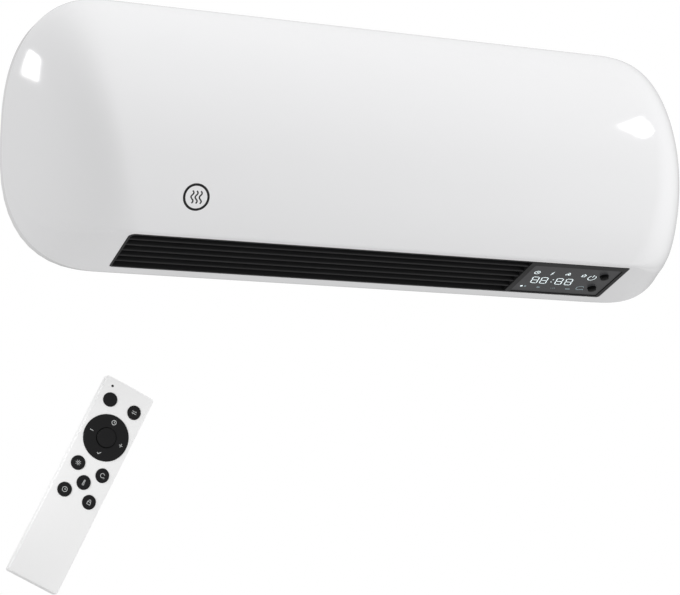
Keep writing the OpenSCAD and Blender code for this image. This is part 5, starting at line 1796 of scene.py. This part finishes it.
@dataclass
class Studio:
    """White surroundings, four broad lamps, a spot on the remote, and two softboxes for the gloss only."""

    ambient: float = 0.43
    # Each broad lamp's name, direction and power
    lamps: tuple[tuple[str, Triple, float], ...] = (
        ("front_light", (0.774, -0.633, 0.0), 48.9), ("left_light", (-0.698, -0.285, 0.657), 18.8),
        ("low_light", (-0.68, 0.088, -0.728), 21.2), ("top_light", (-0.026, 0.321, 0.947), 43.7))
    distance: float = 2.6
    lamp_size: float = 2.4
    # Each softbox's name, the point that it faces, its direction from there, distance and width
    boxes: tuple[tuple[str, Triple, Triple, float, float], ...] = (
        ("left_box", (-0.266, -0.038, 0.043), (-0.76, 0.474, 0.446), 1.2, 0.2),
        ("right_box", (0.211, -0.087, 0.028), (0.508, -0.353, 0.786), 0.12, 0.03))
    box_radiance: float = 12.0
    remote: Triple = (-0.212, -0.01, -0.254)
    remote_way: Triple = (-0.842, -0.34, 0.416)
    remote_away: float = 0.8
    remote_power: float = 7.5
    spot_size: float = 0.23
    spot_blend: float = 0.4
    spot_soft: float = 0.06

    def lamp(self, name: str, kind: str, place: Vector, facing: Vector, power: float,
             **settings: float) -> bpy.types.Object:
        """Adds a lamp.

        Args:
            name: The lamp's name.
            kind: Its type, AREA or SPOT.
            place: Where it stands.
            facing: The direction that it shines in.
            power: Its power in watts.
            **settings: Other attributes of the lamp.

        Returns:
            The lamp's object.
        """
        data = bpy.data.lights.new(name, kind)
        data.energy = power
        for key, value in settings.items():
            setattr(data, key, value)
        lamp = bpy.data.objects.new(name, data)
        lamp.location = place
        lamp.rotation_euler = facing.to_track_quat("-Z", "Y").to_euler()
        bpy.context.scene.collection.objects.link(lamp)
        return lamp

    def world(self) -> None:
        """Pale surroundings: white to the camera, and softer as a light and in reflections."""
        world = bpy.data.worlds.new("studio")
        bpy.context.scene.world = world
        world.use_nodes = True
        world.node_tree.nodes.clear()
        kit = NodeTree(world.node_tree)
        seen = kit.add("ShaderNodeLightPath").outputs["Is Camera Ray"]
        strength = kit.math("ADD", kit.math("MULTIPLY", seen, 1.0 - self.ambient), self.ambient)
        light = kit.add("ShaderNodeBackground", {"Color": (1, 1, 1, 1), "Strength": strength})
        kit.add("ShaderNodeOutputWorld", {"Surface": light.outputs[0]})

    def build(self) -> None:
        """Builds the world and the lamps."""
        bpy.context.scene.view_settings.view_transform = "Standard"
        self.world()
        for name, way, power in self.lamps:
            place = Vector(way).normalized() * self.distance
            self.lamp(name, "AREA", place, -place, power, size=self.lamp_size).visible_glossy = False
        way = Vector(self.remote_way)
        place = Vector(self.remote) + way * self.remote_away
        self.lamp("remote_light", "SPOT", place, -way, self.remote_power, spot_size=self.spot_size,
                  spot_blend=self.spot_blend, shadow_soft_size=self.spot_soft)
        for name, spot, way, away, size in self.boxes:
            place = Vector(spot) + Vector(way) * away
            power = self.box_radiance * math.pi * size**2
            self.lamp(name, "AREA", place, Vector(spot) - place, power, size=size).visible_diffuse = False


class Heater:
    """The whole object, piece by piece."""

    def __init__(self) -> None:
        """Reads the body's size from its solid."""
        _, (half_w, back_y, top_z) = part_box("front_cover")
        self.form = CapsuleForm(half_w=half_w / MM, top_z=top_z / MM, back_d=-back_y / MM)
        self.cover = FrontCover(self.form)
        self.grille = OutletGrille(self.form, self.cover)

    def build(self) -> None:
        """Builds every piece and dresses the solids that stay."""
        shop = Workshop()
        shop.dress_solids()
        for piece in (self.cover, HousingEnds(self.form), IntakeGrille(self.form, self.cover.intake),
                      self.grille, ControlPanel(self.form, self.grille), CoverMark(self.form), Remote()):
            piece.build(shop)


def main() -> None:
    """Builds the camera, the studio and the heater."""
    logging.basicConfig(level=logging.INFO, format="%(name)s: %(message)s")
    Camera().build()
    Studio().build()
    Heater().build()


if __name__ == "__main__":
    main()
